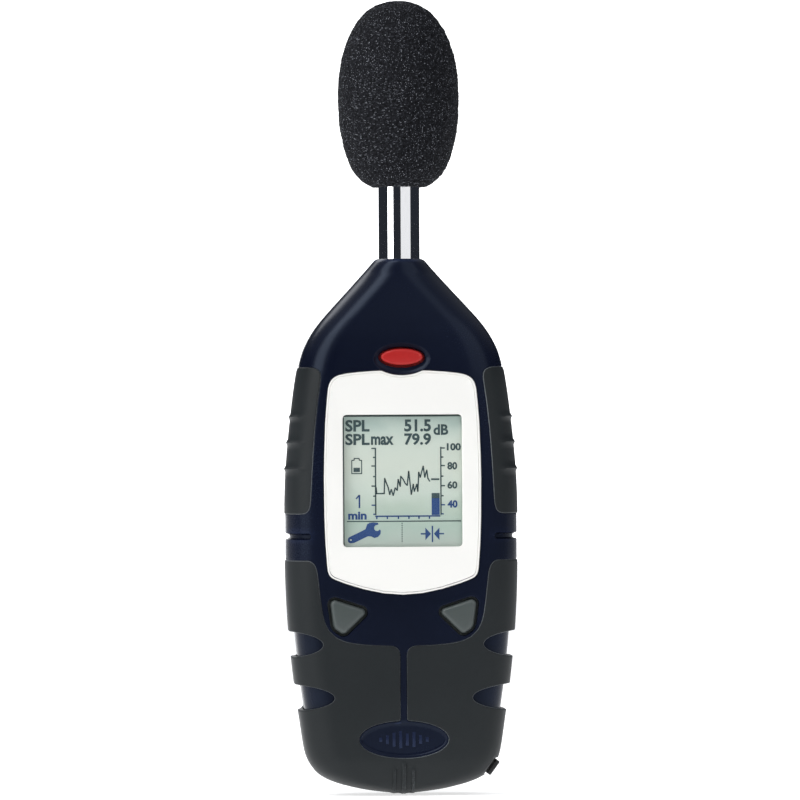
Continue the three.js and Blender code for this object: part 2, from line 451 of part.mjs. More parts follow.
// ---------------------------------------------------------------- battery bay
const cellX = [-CELL_PITCH, 0, CELL_PITCH], cellUp = [true, false, true];
const CELL_Z0 = 25.8; // flat negative end of an upright cell
cellX.forEach((x, i) => {
  const body = lathe([[0, 0], [CELL_R, 0], [CELL_R, 49.1], [2.7, 49.1], [2.7, CELL_LENGTH], [0, CELL_LENGTH]], 16);
  place(meter, `battery_cell_${i + 1}`, materials.cell, body, cellUp[i] ? [x, CELL_Y, CELL_Z0] : [x, CELL_Y, 77.5 + 20.5 - CELL_Z0], cellUp[i] ? [0, 0, 0] : [Math.PI, 0, 0]);
});
// A conical coil spring on the contact plate: the plate at height z0, the coil reaching along dir.
function coil(x, z0, dir, length) {
  const turns = 3, points = [];
  for (let i = 0; i <= turns * 6; i++) {
    const t = i / (turns * 6), a = 2 * Math.PI * turns * t, r = 4.6 - 2.0 * t;
    points.push(new THREE.Vector3(x + r * Math.cos(a), CELL_Y + r * Math.sin(a), z0 + dir * length * t));
  }
  const ring = new THREE.Shape(ellipse(0, 0, 0.45, 0.45, 4).map(([a, b]) => new THREE.Vector2(a, b)));
  return solid(new THREE.ExtrudeGeometry(ring, { steps: turns * 6, bevelEnabled: false, extrudePath: new THREE.CatmullRomCurve3(points) }));
}
const plate = (x0, x1, z0, z1) => box(x0, x1, CELL_Y - 5.4, CELL_Y + 5.4, z0, z1);
const LOW = [20.6, 21.1], HIGH = [76.9, 77.4];
place(meter, "battery_spring_terminal", materials.steel, union(plate(-20.3, -9.5, ...LOW), coil(-CELL_PITCH, 21.2, 1, 3.9)));
place(meter, "battery_bridge_top", materials.steel, union(plate(-20.3, 5.4, ...HIGH), coil(0, 76.8, -1, 3.9)));
place(meter, "battery_bridge_bottom", materials.steel, union(plate(-5.4, 20.3, ...LOW), coil(CELL_PITCH, 21.2, 1, 3.9)));
place(meter, "battery_plate_terminal", materials.steel, plate(9.5, 20.3, ...HIGH));
// Cover: hooks at its foot and turns out about the foot's outer edge.
let cover = prism(rounded(-COVER.x, COVER.x, COVER.z0, COVER.z1, 2), COVER.inner, REAR_Y);
cover = union(
  cover,
  box(-14.2, -8.3, COVER.inner, 14.0, 12.9, 16.2),
  box(8.3, 14.2, COVER.inner, 14.0, 12.9, 16.2),
  box(-19, 19, COVER.inner - 0.25, COVER.inner + 0.1, 47, 48.2),
);
for (let i = 0; i < 5; i++) cover = cut(cover, box(-6 + i * 0.7, 6 - i * 0.7, 14.7, 16, 79.6 - i * 1.7, 80.4 - i * 1.7));
place(meter, "battery_cover", materials.casing, cover);

// ---------------------------------------------------------------- tripod bush and screws
place(meter, "tripod_bush", materials.brass,
  new THREE.LatheGeometry([[TRIPOD.bore, -9], [TRIPOD.r, -9], [TRIPOD.r, 0], [TRIPOD.bore, 0], [TRIPOD.bore, -9]]
    .map(([r, y]) => new THREE.Vector2(r, y)), 20), [0, REAR_Y - 0.1, TRIPOD.z]);
const screw = (headR, headH, shaftR, length) => cut(
  solid(new THREE.LatheGeometry([[0, -length], [shaftR, -length], [shaftR, 0], [headR, 0], [headR, headH], [0, headH]].map(([r, y]) => new THREE.Vector2(r, y)), 10)),
  box(-headR * 0.6, headR * 0.6, headH - 0.6, headH + 1, -0.3, 0.3));
CASE_SCREWS.forEach(([x, z], i) => place(meter, `case_screw_${i + 1}`, materials.steel, screw(2.25, 1.7, 1.1, 14), [x, 8.1, z]));
PCB_SCREWS.forEach(([x, z], i) => place(meter, `board_screw_${i + 1}`, materials.steel, screw(1.9, 1.2, 0.85, 4.8), [x, PCB.y1 + 0.1, z]));

// ---------------------------------------------------------------- port facet
meter.add(port);
place(port, "io_board", materials.board, boxGeometry(-11.2, -10.2, -6.4, 6.4, -2.6, 2.6));
place(port, "usb_socket", materials.steel, cut(box(-10, -0.5, -0.9, 6.4, -1.9, 1.9), box(-7.5, 2, -0.4, 5.9, -1.45, 1.45)));
place(port, "output_jack", materials.chip, cut(box(-10, -0.5, -6.2, -1.4, -1.9, 1.9),
  solid(new THREE.CylinderGeometry(1.3, 1.3, 11, 16).rotateZ(Math.PI / 2).translate(-2.5, -3.8, 0))));
place(port, "port_flap", materials.blackRubber, cut(
  union(box(0.1, 1.2, -7.4, 6.5, -2.6, 2.6), box(-0.3, 0.2, -6.3, 6.3, -1.8, 1.8), box(0.12, 0.48, 6.4, 7.5, -1.8, 1.8)), // thin web bends at the strap
  box(0.8, 2, -8, -6.6, -1.4, 1.4)));
place(port, "port_flap_anchor", materials.blackRubber, boxGeometry(-2.1, 0.9, 7.8, 9.6, -1.8, 1.8));

export default meter;
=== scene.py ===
"""Looks of the hand-held sound level meter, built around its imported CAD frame."""

import bpy, bmesh, json, math
import numpy as np
from mathutils import Vector, Matrix
from mathutils.geometry import delaunay_2d_cdt


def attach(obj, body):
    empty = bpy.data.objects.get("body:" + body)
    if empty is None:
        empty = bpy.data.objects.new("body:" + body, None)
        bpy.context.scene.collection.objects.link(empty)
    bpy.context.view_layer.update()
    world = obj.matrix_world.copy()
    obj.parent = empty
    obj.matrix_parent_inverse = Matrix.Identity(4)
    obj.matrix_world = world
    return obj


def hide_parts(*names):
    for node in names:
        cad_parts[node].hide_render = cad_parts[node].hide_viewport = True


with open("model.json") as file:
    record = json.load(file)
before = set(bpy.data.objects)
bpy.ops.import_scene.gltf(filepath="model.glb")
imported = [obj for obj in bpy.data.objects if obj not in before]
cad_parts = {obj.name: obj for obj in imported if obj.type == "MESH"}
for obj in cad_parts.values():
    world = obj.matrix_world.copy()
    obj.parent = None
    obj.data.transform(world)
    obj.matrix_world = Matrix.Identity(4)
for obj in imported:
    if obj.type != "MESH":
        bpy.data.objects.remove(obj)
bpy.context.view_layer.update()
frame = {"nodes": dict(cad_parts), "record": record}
MM = 0.001
scene = bpy.context.scene

# ------------------------------------------------------------------ camera
CAM_AZ, CAM_DIST, CAM_Z = math.radians(-2.5), 2.60, 0.1219
cam_data = bpy.data.cameras.new("camera")
cam_data.sensor_width = 36.0
cam_data.lens = 36.0 * CAM_DIST / 0.2482
cam_data.clip_start, cam_data.clip_end = 0.01, 20
cam = bpy.data.objects.new("camera", cam_data)
scene.collection.objects.link(cam)
aim = Vector((0.0000, 0, CAM_Z))
eye = aim + Vector((math.sin(CAM_AZ) * CAM_DIST, -math.cos(CAM_AZ) * CAM_DIST, 0))
look = (aim - eye).to_track_quat("-Z", "Y").to_matrix().to_4x4()
cam.matrix_world = Matrix.Translation(eye) @ look @ Matrix.Rotation(math.radians(-0.33), 4, "Z")
scene.camera = cam


# ------------------------------------------------------------------ materials
def new_material(name):
    m = bpy.data.materials.new(name)
    m.use_nodes = True
    nt = m.node_tree
    nt.nodes.clear()
    out = nt.nodes.new("ShaderNodeOutputMaterial")
    bsdf = nt.nodes.new("ShaderNodeBsdfPrincipled")
    nt.links.new(bsdf.outputs[0], out.inputs[0])
    return m, nt, bsdf


def coords(nt, scale=1000.0):
    tc = nt.nodes.new("ShaderNodeTexCoord")
    mp = nt.nodes.new("ShaderNodeMapping")
    mp.inputs["Scale"].default_value = (scale,) * 3 if np.isscalar(scale) else scale
    nt.links.new(tc.outputs["Object"], mp.inputs[0])
    return mp.outputs[0]


def noise(nt, vec, scale, detail=3.0, rough=0.5):
    n = nt.nodes.new("ShaderNodeTexNoise")
    n.inputs["Scale"].default_value = scale
    n.inputs["Detail"].default_value = detail
    n.inputs["Roughness"].default_value = rough
    nt.links.new(vec, n.inputs["Vector"])
    return n.outputs["Fac"]


def ramp(nt, fac, stops):
    r = nt.nodes.new("ShaderNodeValToRGB")
    while len(r.color_ramp.elements) < len(stops):
        r.color_ramp.elements.new(0.5)
    for e, (p, c) in zip(r.color_ramp.elements, stops):
        e.position = p
        e.color = (*c, 1) if len(c) == 3 else c
    nt.links.new(fac, r.inputs[0])
    return r.outputs[0]


def maprange(nt, v, a, b, c, d):
    n = nt.nodes.new("ShaderNodeMapRange")
    for i, x in enumerate((a, b, c, d)):
        n.inputs[i + 1].default_value = x
    nt.links.new(v, n.inputs[0])
    return n.outputs[0]


def math_node(nt, op, a, b=None, clamp=False):
    n = nt.nodes.new("ShaderNodeMath")
    n.operation = op
    n.use_clamp = clamp
    for i, x in enumerate((a, b)):
        if x is None:
            continue
        if isinstance(x, (int, float)):
            n.inputs[i].default_value = x
        else:
            nt.links.new(x, n.inputs[i])
    return n.outputs[0]


def bump(nt, bsdf, height, strength=0.3, distance=0.0001):
    b = nt.nodes.new("ShaderNodeBump")
    b.inputs["Strength"].default_value = strength
    b.inputs["Distance"].default_value = distance
    nt.links.new(height, b.inputs["Height"])
    nt.links.new(b.outputs[0], bsdf.inputs["Normal"])
    return b


def edge_pointiness(nt):
    """Pointiness, high on convex edges and low in creases; the finishes use it to paint highlights onto edges and
    bumps.
    """
    g = nt.nodes.new("ShaderNodeNewGeometry")
    return g.outputs["Pointiness"]


def moulded(name, dark, light, edge, rough=(0.30, 0.42), grain=2.2, grain_strength=0.12, painted_highlight_range=(0.51, 0.58), spec=0.5, big=0.02, tint=(1, 1, 1)):
    """Moulded plastic or rubber: fine spark-eroded grain, faint flow variation, and a third colour painted on as light
    and shade: a painted highlight on convex edges, and a painted edge line read from a vertex attribute.
    """
    m, nt, bsdf = new_material(name)
    v = coords(nt)
    flow = noise(nt, v, big, 3)
    fine = noise(nt, v, grain, 4, 0.6)
    mix = math_node(nt, "ADD", math_node(nt, "MULTIPLY", flow, 0.7), math_node(nt, "MULTIPLY", fine, 0.3))
    # painted highlight on convex edges, from pointiness
    painted_edge_light = maprange(nt, edge_pointiness(nt), painted_highlight_range[0], painted_highlight_range[1], 0.0, 0.7)
    # a vertex attribute paints more edge light and shade: a highlight along the grips' edges, shade in the bezel's
    # groove
    attr = nt.nodes.new("ShaderNodeAttribute")
    attr.attribute_name = "painted_edge_light_shade"
    painted_edge_light = math_node(nt, "MAXIMUM", painted_edge_light, math_node(nt, "MULTIPLY", attr.outputs["Fac"], 0.5))
    fac = math_node(nt, "ADD", maprange(nt, mix, 0.35, 0.65, 0.0, 0.5), painted_edge_light, clamp=True)
    nt.links.new(ramp(nt, fac, [(0.0, dark), (0.5, light), (1.0, edge)]), bsdf.inputs["Base Color"])
    nt.links.new(maprange(nt, mix, 0.3, 0.7, rough[0], rough[1]), bsdf.inputs["Roughness"])
    bsdf.inputs["Specular IOR Level"].default_value = spec
    bsdf.inputs["Specular Tint"].default_value = (*tint, 1)
    bump(nt, bsdf, fine, grain_strength, 0.00006)
    return m


def srgb(r, g, b):
    return tuple((c / 255 / 12.92) if c / 255 <= 0.04045 else ((c / 255 + 0.055) / 1.055) ** 2.4 for c in (r, g, b))


def metal(name, color, rough=(0.04, 0.10), streak=(40, 40, 2), bump_strength=0.02):
    m, nt, bsdf = new_material(name)
    v = coords(nt, tuple(1000.0 * s / 40 for s in streak))
    n = noise(nt, v, 6.0, 5, 0.6)
    bsdf.inputs["Metallic"].default_value = 1.0
    c0 = tuple(x * 0.93 for x in color)
    nt.links.new(ramp(nt, n, [(0.3, c0), (0.7, color)]), bsdf.inputs["Base Color"])
    nt.links.new(maprange(nt, n, 0.3, 0.7, rough[0], rough[1]), bsdf.inputs["Roughness"])
    bump(nt, bsdf, n, bump_strength, 0.00002)
    return m


# In each moulded finish the third colour is painted light and shade: a highlight on convex edges; on the grips a
# highlight along their edges; on the bezel the shade in its groove.
MAT = {
    "casing": moulded("navy_abs", srgb(8, 12, 26), srgb(12, 17, 34), srgb(28, 35, 58), rough=(0.23, 0.29), grain=2.4, grain_strength=0.02, spec=0.22, tint=(0.62, 0.76, 1.0)),
    "grip": moulded("grip_rubber", srgb(27, 31, 33), srgb(33, 37, 39), srgb(128, 134, 138), rough=(0.40, 0.48), grain=3.2, grain_strength=0.08, spec=0.20, painted_highlight_range=(2.0, 3.0)),
    "bezel": moulded("white_bezel", srgb(237, 236, 232), srgb(239, 238, 234), srgb(40, 48, 78), rough=(0.34, 0.36), grain=1.2, grain_strength=0.01, painted_highlight_range=(2.0, 3.0)),
    "start_key": moulded("red_key", srgb(158, 20, 20), srgb(178, 33, 31), srgb(180, 56, 50), rough=(0.36, 0.44), grain=3.0, grain_strength=0.10, spec=0.34),
    "soft_key": moulded("grey_key", srgb(62, 69, 68), srgb(70, 77, 76), srgb(112, 120, 117), rough=(0.36, 0.44), grain=3.0, grain_strength=0.06, spec=0.42),
    "black_rubber": moulded("black_rubber", srgb(12, 12, 13), srgb(22, 22, 24), srgb(48, 48, 50), rough=(0.5, 0.65), grain=3.0, grain_strength=0.2, spec=0.35),
    "moulded_part": moulded("black_component", srgb(18, 18, 19), srgb(36, 36, 38), srgb(58, 58, 60), rough=(0.4, 0.55), grain=4.0, grain_strength=0.2),
    "tube_chrome": metal("polished_tube", (0.90, 0.91, 0.93), rough=(0.03, 0.05)),
    "steel": metal("plated_steel", (0.62, 0.63, 0.64), rough=(0.22, 0.34), bump_strength=0.08),
    "brass": metal("turned_brass", (0.72, 0.53, 0.25), rough=(0.2, 0.34), bump_strength=0.08),
}


def foam_material():
    """Open-cell foam: dark pores, struts of different brightness, small bright glints painted in as highlights, and a
    painted highlight on convex bumps.
    """
    m, nt, bsdf = new_material("open_cell_foam")
    v = coords(nt)
    cells = nt.nodes.new("ShaderNodeTexVoronoi")
    cells.feature = "F1"
    cells.inputs["Scale"].default_value = 3.3
    nt.links.new(v, cells.inputs["Vector"])
    sep = nt.nodes.new("ShaderNodeSeparateColor")
    nt.links.new(cells.outputs["Color"], sep.inputs[0])
    pick = maprange(nt, sep.outputs[0], 0.42, 1.0, 0.0, 1.0)
    # painted glints: small bright specks of painted highlight on the foam
    painted_glint = math_node(nt, "MULTIPLY", math_node(nt, "POWER", pick, 1.6), maprange(nt, cells.outputs["Distance"], 0.2, 0.65, 1.0, 0.15))
    n = noise(nt, v, 1.7, 5, 0.85)
    # painted highlight on convex bumps, from pointiness
    painted_bump_highlight = maprange(nt, edge_pointiness(nt), 0.46, 0.56, 0.0, 0.26)
    fac = math_node(nt, "ADD", math_node(nt, "ADD", painted_bump_highlight, maprange(nt, n, 0.38, 0.66, 0.0, 0.30)), math_node(nt, "MULTIPLY", painted_glint, 0.72), clamp=True)
    col = ramp(nt, fac, [(0.0, srgb(4, 5, 6)), (0.3, srgb(20, 21, 25)), (0.6, srgb(54, 56, 62)), (1.0, srgb(176, 180, 188))])
    nt.links.new(col, bsdf.inputs["Base Color"])
    bsdf.inputs["Roughness"].default_value = 0.8
    bsdf.inputs["Specular IOR Level"].default_value = 0.12
    bump(nt, bsdf, math_node(nt, "ADD", n, painted_glint), 0.5, 0.00012)
    return m


def glass_material():
    m, nt, bsdf = new_material("display_window")
    nt.nodes.remove(bsdf)
    out = nt.nodes["Material Output"]
    clear = nt.nodes.new("ShaderNodeBsdfTransparent")
    clear.inputs[0].default_value = (0.985, 0.985, 0.975, 1)
    gloss = nt.nodes.new("ShaderNodeBsdfGlossy")
    v = coords(nt)
    nt.links.new(maprange(nt, noise(nt, v, 0.12, 3), 0.3, 0.7, 0.03, 0.07), gloss.inputs["Roughness"])
    fres = nt.nodes.new("ShaderNodeFresnel")
    fres.inputs[0].default_value = 1.25
    mix = nt.nodes.new("ShaderNodeMixShader")
    geo = nt.nodes.new("ShaderNodeNewGeometry")
    front = math_node(nt, "SUBTRACT", 1.0, geo.outputs["Backfacing"])
    nt.links.new(math_node(nt, "MULTIPLY", fres.outputs[0], front), mix.inputs[0])
    nt.links.new(clear.outputs[0], mix.inputs[1])
    nt.links.new(gloss.outputs[0], mix.inputs[2])
    nt.links.new(mix.outputs[0], out.inputs[0])
    return m


def lcd_material():
    """Liquid crystal: pale green-grey with its fine dot pitch, darker at the top as painted shade under the bezel's
    shadow, darker in a band near the bottom, and given a faint painted glow.
    """
    m, nt, bsdf = new_material("lcd_glass")
    tc = nt.nodes.new("ShaderNodeTexCoord")
    sep = nt.nodes.new("ShaderNodeSeparateXYZ")
    nt.links.new(tc.outputs["Object"], sep.inputs[0])
    x, z = sep.outputs[0], sep.outputs[2]
    up = maprange(nt, z, 0.0766, 0.1174, 0.0, 1.0)
    cloud = noise(nt, coords(nt, (60.0, 60.0, 60.0)), 1.4, 2)
    f = math_node(nt, "ADD", up, maprange(nt, cloud, 0.3, 0.7, -0.05, 0.05))
    # painted shade: the tone darkens towards the top, where the bezel's shadow falls; it is also darker in a band near
    # the bottom
    col = ramp(nt, f, [(0.0, srgb(180, 191, 186)), (0.16, srgb(168, 187, 179)), (0.30, srgb(178, 194, 184)), (0.42, srgb(195, 207, 200)), (0.6, srgb(202, 211, 203)), (0.76, srgb(200, 210, 203)), (0.90, srgb(188, 202, 196)), (0.97, srgb(170, 188, 184))])
    pitch = 2 * math.pi / 0.00036
    dots = math_node(nt, "MULTIPLY", math_node(nt, "SINE", math_node(nt, "MULTIPLY", x, pitch)), math_node(nt, "SINE", math_node(nt, "MULTIPLY", z, pitch)))
    grid = maprange(nt, dots, -1, 1, 0.97, 1.02)
    mul = nt.nodes.new("ShaderNodeMix")
    mul.data_type, mul.blend_type = "RGBA", "MULTIPLY"
    mul.inputs[0].default_value = 1.0
    nt.links.new(col, mul.inputs[6])
    comb = nt.nodes.new("ShaderNodeCombineXYZ")
    for i in range(3):
        nt.links.new(grid, comb.inputs[i])
    nt.links.new(comb.outputs[0], mul.inputs[7])
    nt.links.new(mul.outputs[2], bsdf.inputs["Base Color"])
    # painted light: the emission makes the cell glow a little
    nt.links.new(mul.outputs[2], bsdf.inputs["Emission Color"])
    bsdf.inputs["Emission Strength"].default_value = 0.05
    bsdf.inputs["Roughness"].default_value = 0.4
    return m


def ink(name, color):
    m, nt, bsdf = new_material(name)
    n = noise(nt, coords(nt), 3.0, 2)
    nt.links.new(ramp(nt, n, [(0.3, tuple(c * 0.9 for c in color)), (0.7, color)]), bsdf.inputs["Base Color"])
    bsdf.inputs["Roughness"].default_value = 0.5
    bsdf.inputs["Specular IOR Level"].default_value = 0.1
    return m


def board_material():
    """Solder-masked board: tracks under green lacquer."""
    m, nt, bsdf = new_material("circuit_board")
    v = coords(nt)
    br = nt.nodes.new("ShaderNodeTexVoronoi")
    br.distance = "MANHATTAN"
    br.feature = "F1"
    br.inputs["Scale"].default_value = 0.35
    nt.links.new(v, br.inputs["Vector"])
    band = math_node(nt, "SINE", math_node(nt, "MULTIPLY", br.outputs["Distance"], 26.0))
    tracks = maprange(nt, band, 0.55, 0.7, 0.0, 1.0)
    col = ramp(nt, tracks, [(0.0, srgb(18, 74, 40)), (1.0, srgb(34, 108, 60))])
    nt.links.new(col, bsdf.inputs["Base Color"])
    bsdf.inputs["Roughness"].default_value = 0.32
    bump(nt, bsdf, tracks, 0.4, 0.00004)
    return m


def flex_material():
    m, nt, bsdf = new_material("flexible_circuit")
    v = coords(nt)
    sep = nt.nodes.new("ShaderNodeSeparateXYZ")
    nt.links.new(v, sep.inputs[0])
    lines = maprange(nt, math_node(nt, "SINE", math_node(nt, "MULTIPLY", sep.outputs[0], 12.5)), 0.0, 0.3, 0.0, 1.0)
    nt.links.new(ramp(nt, lines, [(0.0, srgb(150, 92, 30)), (1.0, srgb(196, 132, 58))]), bsdf.inputs["Base Color"])
    bsdf.inputs["Roughness"].default_value = 0.3
    return m


def cell_material():
    """Battery sleeve: dark body with a coppery end band and fine seam, no lettering."""
    m, nt, bsdf = new_material("cell_sleeve")
    tc = nt.nodes.new("ShaderNodeTexCoord")
    sep = nt.nodes.new("ShaderNodeSeparateXYZ")
    nt.links.new(tc.outputs["Generated"], sep.inputs[0])
    n = noise(nt, coords(nt), 0.8, 3)
    col = ramp(nt, sep.outputs[2], [(0.0, srgb(40, 44, 50)), (0.66, srgb(46, 50, 56)), (0.67, srgb(176, 120, 70)), (0.97, srgb(186, 130, 78)), (0.98, srgb(190, 190, 190))])
    nt.links.new(col, bsdf.inputs["Base Color"])
    nt.links.new(maprange(nt, n, 0.3, 0.7, 0.2, 0.34), bsdf.inputs["Roughness"])
    bsdf.inputs["Metallic"].default_value = 0.55
    return m


MAT["foam"] = foam_material()
MAT["window"] = glass_material()
MAT["lcd"] = lcd_material()
MAT["board"] = board_material()
MAT["flex"] = flex_material()
MAT["cell"] = cell_material()
INK = ink("lcd_segment", srgb(72, 88, 92))
INK_BLUE = ink("lcd_segment_blue", srgb(58, 82, 132))


# ------------------------------------------------------------------ mesh helpers
def make_object(name, verts, faces, material, sharp=35.0, smooth=True):
    me = bpy.data.meshes.new(name)
    me.from_pydata([tuple(v) for v in verts], [], [tuple(f) for f in faces])
    me.validate(clean_customdata=False)
    me.update()
    ob = bpy.data.objects.new(name, me)
    scene.collection.objects.link(ob)
    ob.data.materials.append(material)
    if smooth:
        me.polygons.foreach_set("use_smooth", [True] * len(me.polygons))
        if hasattr(me, "set_sharp_from_angle"):
            me.set_sharp_from_angle(angle=math.radians(sharp))
    return ob


def fix_normals(ob, weld=1e-6):
    bm = bmesh.new()
    bm.from_mesh(ob.data)
    if weld:
        bmesh.ops.remove_doubles(bm, verts=bm.verts, dist=weld)
    bmesh.ops.recalc_face_normals(bm, faces=bm.faces)
    bm.to_mesh(ob.data)
    bm.free()
    ob.data.update()


def finish_piece(ob, body, nodes):
    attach(ob, body)
    if nodes:
        for n in [nodes] if isinstance(nodes, str) else nodes:
            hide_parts(n)
    return ob


def join_pieces(name, parts):
    verts, faces = [], []
    for v, f in parts:
        base = len(verts)
        verts.extend(v)
        faces.extend([tuple(i + base for i in g) for g in f])
    return verts, faces


# ------------------------------------------------------------------ the casing's form
HALF_WIDTH = [
    (0.20, 0.05), (0.25, 3.0), (0.45, 5.4), (0.75, 8.3), (1.43, 12.7), (2.3, 16.4), (3.3, 20.0), (4.9, 23.9), (6.7, 26.6),
    (8.35, 28.0), (9.85, 28.95), (11.8, 29.8), (15.3, 30.6), (19.3, 31.2), (25.5, 32.1), (34.8, 33.4), (41.0, 34.1),
    (50.4, 35.0), (56.6, 35.4), (62.8, 35.7), (69.0, 35.9), (75.2, 36.0), (87.6, 36.0), (96.9, 35.75), (106.2, 35.1),
    (112.4, 34.5), (118.6, 33.8), (124.9, 33.0), (131.1, 32.0), (134.2, 31.3), (137.2, 30.4), (140.3, 29.0),
    (143.5, 27.1), (146.6, 24.8), (149.7, 22.1), (152.8, 19.3), (155.9, 16.45), (159.0, 13.65), (162.1, 10.85),
    (164.4, 8.85), (165.2, 8.15), (165.65, 7.6), (165.9, 7.0),
]
HALF_DEPTH = [
    (0.20, 6.9), (0.25, 7.5), (0.45, 8.7), (0.75, 9.7), (1.43, 11.2), (2.3, 12.3), (3.3, 13.2), (4.9, 14.1), (6.7, 14.8),
    (8.35, 15.15), (9.85, 15.38), (11.8, 15.5), (20.0, 15.5), (60.0, 15.5), (128.0, 15.5), (134.2, 15.2), (140.3, 14.5), (146.6, 13.3),
    (152.8, 11.8), (159.0, 10.3), (164.4, 9.05), (165.2, 8.75), (165.65, 8.4), (165.9, 7.9),
]


def pchip(table):
    """Monotone cubic through the table's points, as a dense lookup."""
    x = np.array([p[0] for p in table]); y = np.array([p[1] for p in table])
    h = np.diff(x); d = np.diff(y) / h
    m = np.zeros(len(x))
    for i in range(1, len(x) - 1):
        if d[i - 1] * d[i] > 0:
            w1, w2 = 2 * h[i] + h[i - 1], h[i] + 2 * h[i - 1]
            m[i] = (w1 + w2) / (w1 / d[i - 1] + w2 / d[i])
    m[0], m[-1] = d[0], d[-1]
    xs = np.unique(np.concatenate([np.linspace(x[0], x[-1], 6000), np.linspace(x[0], 3, 1500)]))
    k = np.clip(np.searchsorted(x, xs) - 1, 0, len(h) - 1)
    t = (xs - x[k]) / h[k]
    ys = (2 * t**3 - 3 * t**2 + 1) * y[k] + (t**3 - 2 * t**2 + t) * h[k] * m[k] + (-2 * t**3 + 3 * t**2) * y[k + 1] + (t**3 - t**2) * h[k] * m[k + 1]
    return xs, ys


ZS, WS = pchip(HALF_WIDTH)
ZD, DS = pchip(HALF_DEPTH)
DS = np.interp(ZS, ZD, DS)
TS = np.concatenate([[0], np.cumsum(np.sqrt(np.diff(ZS) ** 2 + np.diff(WS) ** 2))])
Z_TOP, T_TOP = ZS[-1], TS[-1]


class Casing:
    """The casing's surface in coordinates s (around, from the middle of the face) and t (along). side -1 is the front."""

    def __init__(self, side):
        self.side = side

    def sizes(self, t):
        z = np.interp(t, TS, ZS)
        w, h = np.interp(z, ZS, WS), np.interp(z, ZS, DS)
        rx, ry = np.minimum(11.0, w * 0.97), np.minimum(10.0, h * 0.97)
        return z, w, h, rx, ry, w - rx, math.pi / 2 * np.sqrt((rx**2 + ry**2) / 2), h - ry

    def raw(self, q):
        s, t = np.abs(q[:, 0]), q[:, 1]
        z, w, h, rx, ry, a, arc, b = self.sizes(t)
        th = np.clip((s - a) / arc, 0, 1) * math.pi / 2
        x = np.where(s < a, s, a + rx * np.sin(th))
        y = -b - ry * np.cos(th) + np.where(s > a + arc, s - a - arc, 0)
        return np.stack([x * np.sign(q[:, 0] + 1e-12), -self.side * y, z], 1)

    def point(self, q, off):
        e = 0.02
        q = np.asarray(q, float)
        ds = self.raw(q + [e, 0]) - self.raw(q - [e, 0])
        t0, t1 = np.clip(q[:, 1] - e, 0, T_TOP), np.clip(q[:, 1] + e, 0, T_TOP)
        dt = self.raw(np.stack([q[:, 0], t1], 1)) - self.raw(np.stack([q[:, 0], t0], 1))
        n = np.cross(ds, dt) * (-self.side)
        n /= np.maximum(np.linalg.norm(n, axis=1), 1e-9)[:, None]
        return self.raw(q) + n * np.asarray(off)[:, None]

    def edge(self, t, gap=0.15):
        """s at the parting plane."""
        _, w, h, rx, ry, a, arc, b = self.sizes(np.asarray(t, float))
        return a + arc + b - gap

    def st(self, xz, gap=0.15):
        """Outline points (x, z) in the front view, carried onto the surface; those beyond the side go to the parting plane."""
        xz = np.asarray(xz, float)
        t = np.interp(xz[:, 1], ZS, TS)
        z, w, h, rx, ry, a, arc, b = self.sizes(t)
        x = np.abs(xz[:, 0])
        th = np.arcsin(np.clip((x - a) / rx, 0, 1))
        s = np.where(x < a, x, a + arc * th / (math.pi / 2))
        s = np.where(x >= w, a + arc + b - gap, s)
        return np.stack([s * np.sign(xz[:, 0] + 1e-12), t], 1)


class Plane:
    """A flat datum: s is x, t is z; off is measured outward from y=0 towards side."""

    def __init__(self, side, matrix=None):
        self.side, self.matrix = side, matrix

    def point(self, q, off):
        q = np.asarray(q, float)
        p = np.stack([q[:, 0], self.side * np.asarray(off), q[:, 1]], 1)
        return p if self.matrix is None else p @ self.matrix[:3, :3].T + self.matrix[:3, 3]


FRONT, REAR = Casing(-1), Casing(1)
FACE, BACK = Plane(-1), Plane(1)


# ------------------------------------------------------------------ outlines
def area(p):
    x, y = p[:, 0], p[:, 1]
    return 0.5 * np.sum(x * np.roll(y, -1) - np.roll(x, -1) * y)


def ccw(p):
    p = np.asarray(p, float)
    return p if area(p) > 0 else p[::-1]


def resample(p, step, closed=True):
    """Even spacing along the outline; corners sharper than 25 degrees are kept."""
    p = np.asarray(p, float)
    if closed:
        p = np.vstack([p, p[:1]])
    seg = np.linalg.norm(np.diff(p, axis=0), axis=1)
    keep = np.concatenate([[True], seg > 1e-6])
    p = p[keep]
    seg = np.linalg.norm(np.diff(p, axis=0), axis=1)
    out = []
    for i, L in enumerate(seg):
        n = max(1, int(round(L / step)))
        for k in range(n):
            out.append(p[i] + (p[i + 1] - p[i]) * k / n)
    if not closed:
        out.append(p[-1])
    return np.array(out)


def thin_out(p, least):
    """Drops points closer than least to the last kept one."""
    out = [p[0]]
    for q in p[1:]:
        if np.linalg.norm(q - out[-1]) >= least:
            out.append(q)
    if np.linalg.norm(out[-1] - out[0]) < least:
        out.pop()
    return np.array(out)


def smooth_outline(p, step=0.5, passes=2, closed=True):
    """A spline-like outline through the given points: resampled, then eased."""
    q = resample(p, step, closed)
    for _ in range(passes):
        if closed:
            q = 0.25 * np.roll(q, 1, 0) + 0.5 * q + 0.25 * np.roll(q, -1, 0)
        else:
            r = q.copy()
            r[1:-1] = 0.25 * q[:-2] + 0.5 * q[1:-1] + 0.25 * q[2:]
            q = r
    return q


def grow(p, d):
    p = ccw(p)
    a, b = np.roll(p, 1, 0), np.roll(p, -1, 0)
    u, v = p - a, b - p
    u /= np.linalg.norm(u, axis=1)[:, None]
    v /= np.linalg.norm(v, axis=1)[:, None]
    n1, n2 = np.stack([u[:, 1], -u[:, 0]], 1), np.stack([v[:, 1], -v[:, 0]], 1)
    k = 1 + np.sum(n1 * n2, 1)
    return p + d * (n1 + n2) / np.maximum(k, 0.5)[:, None]


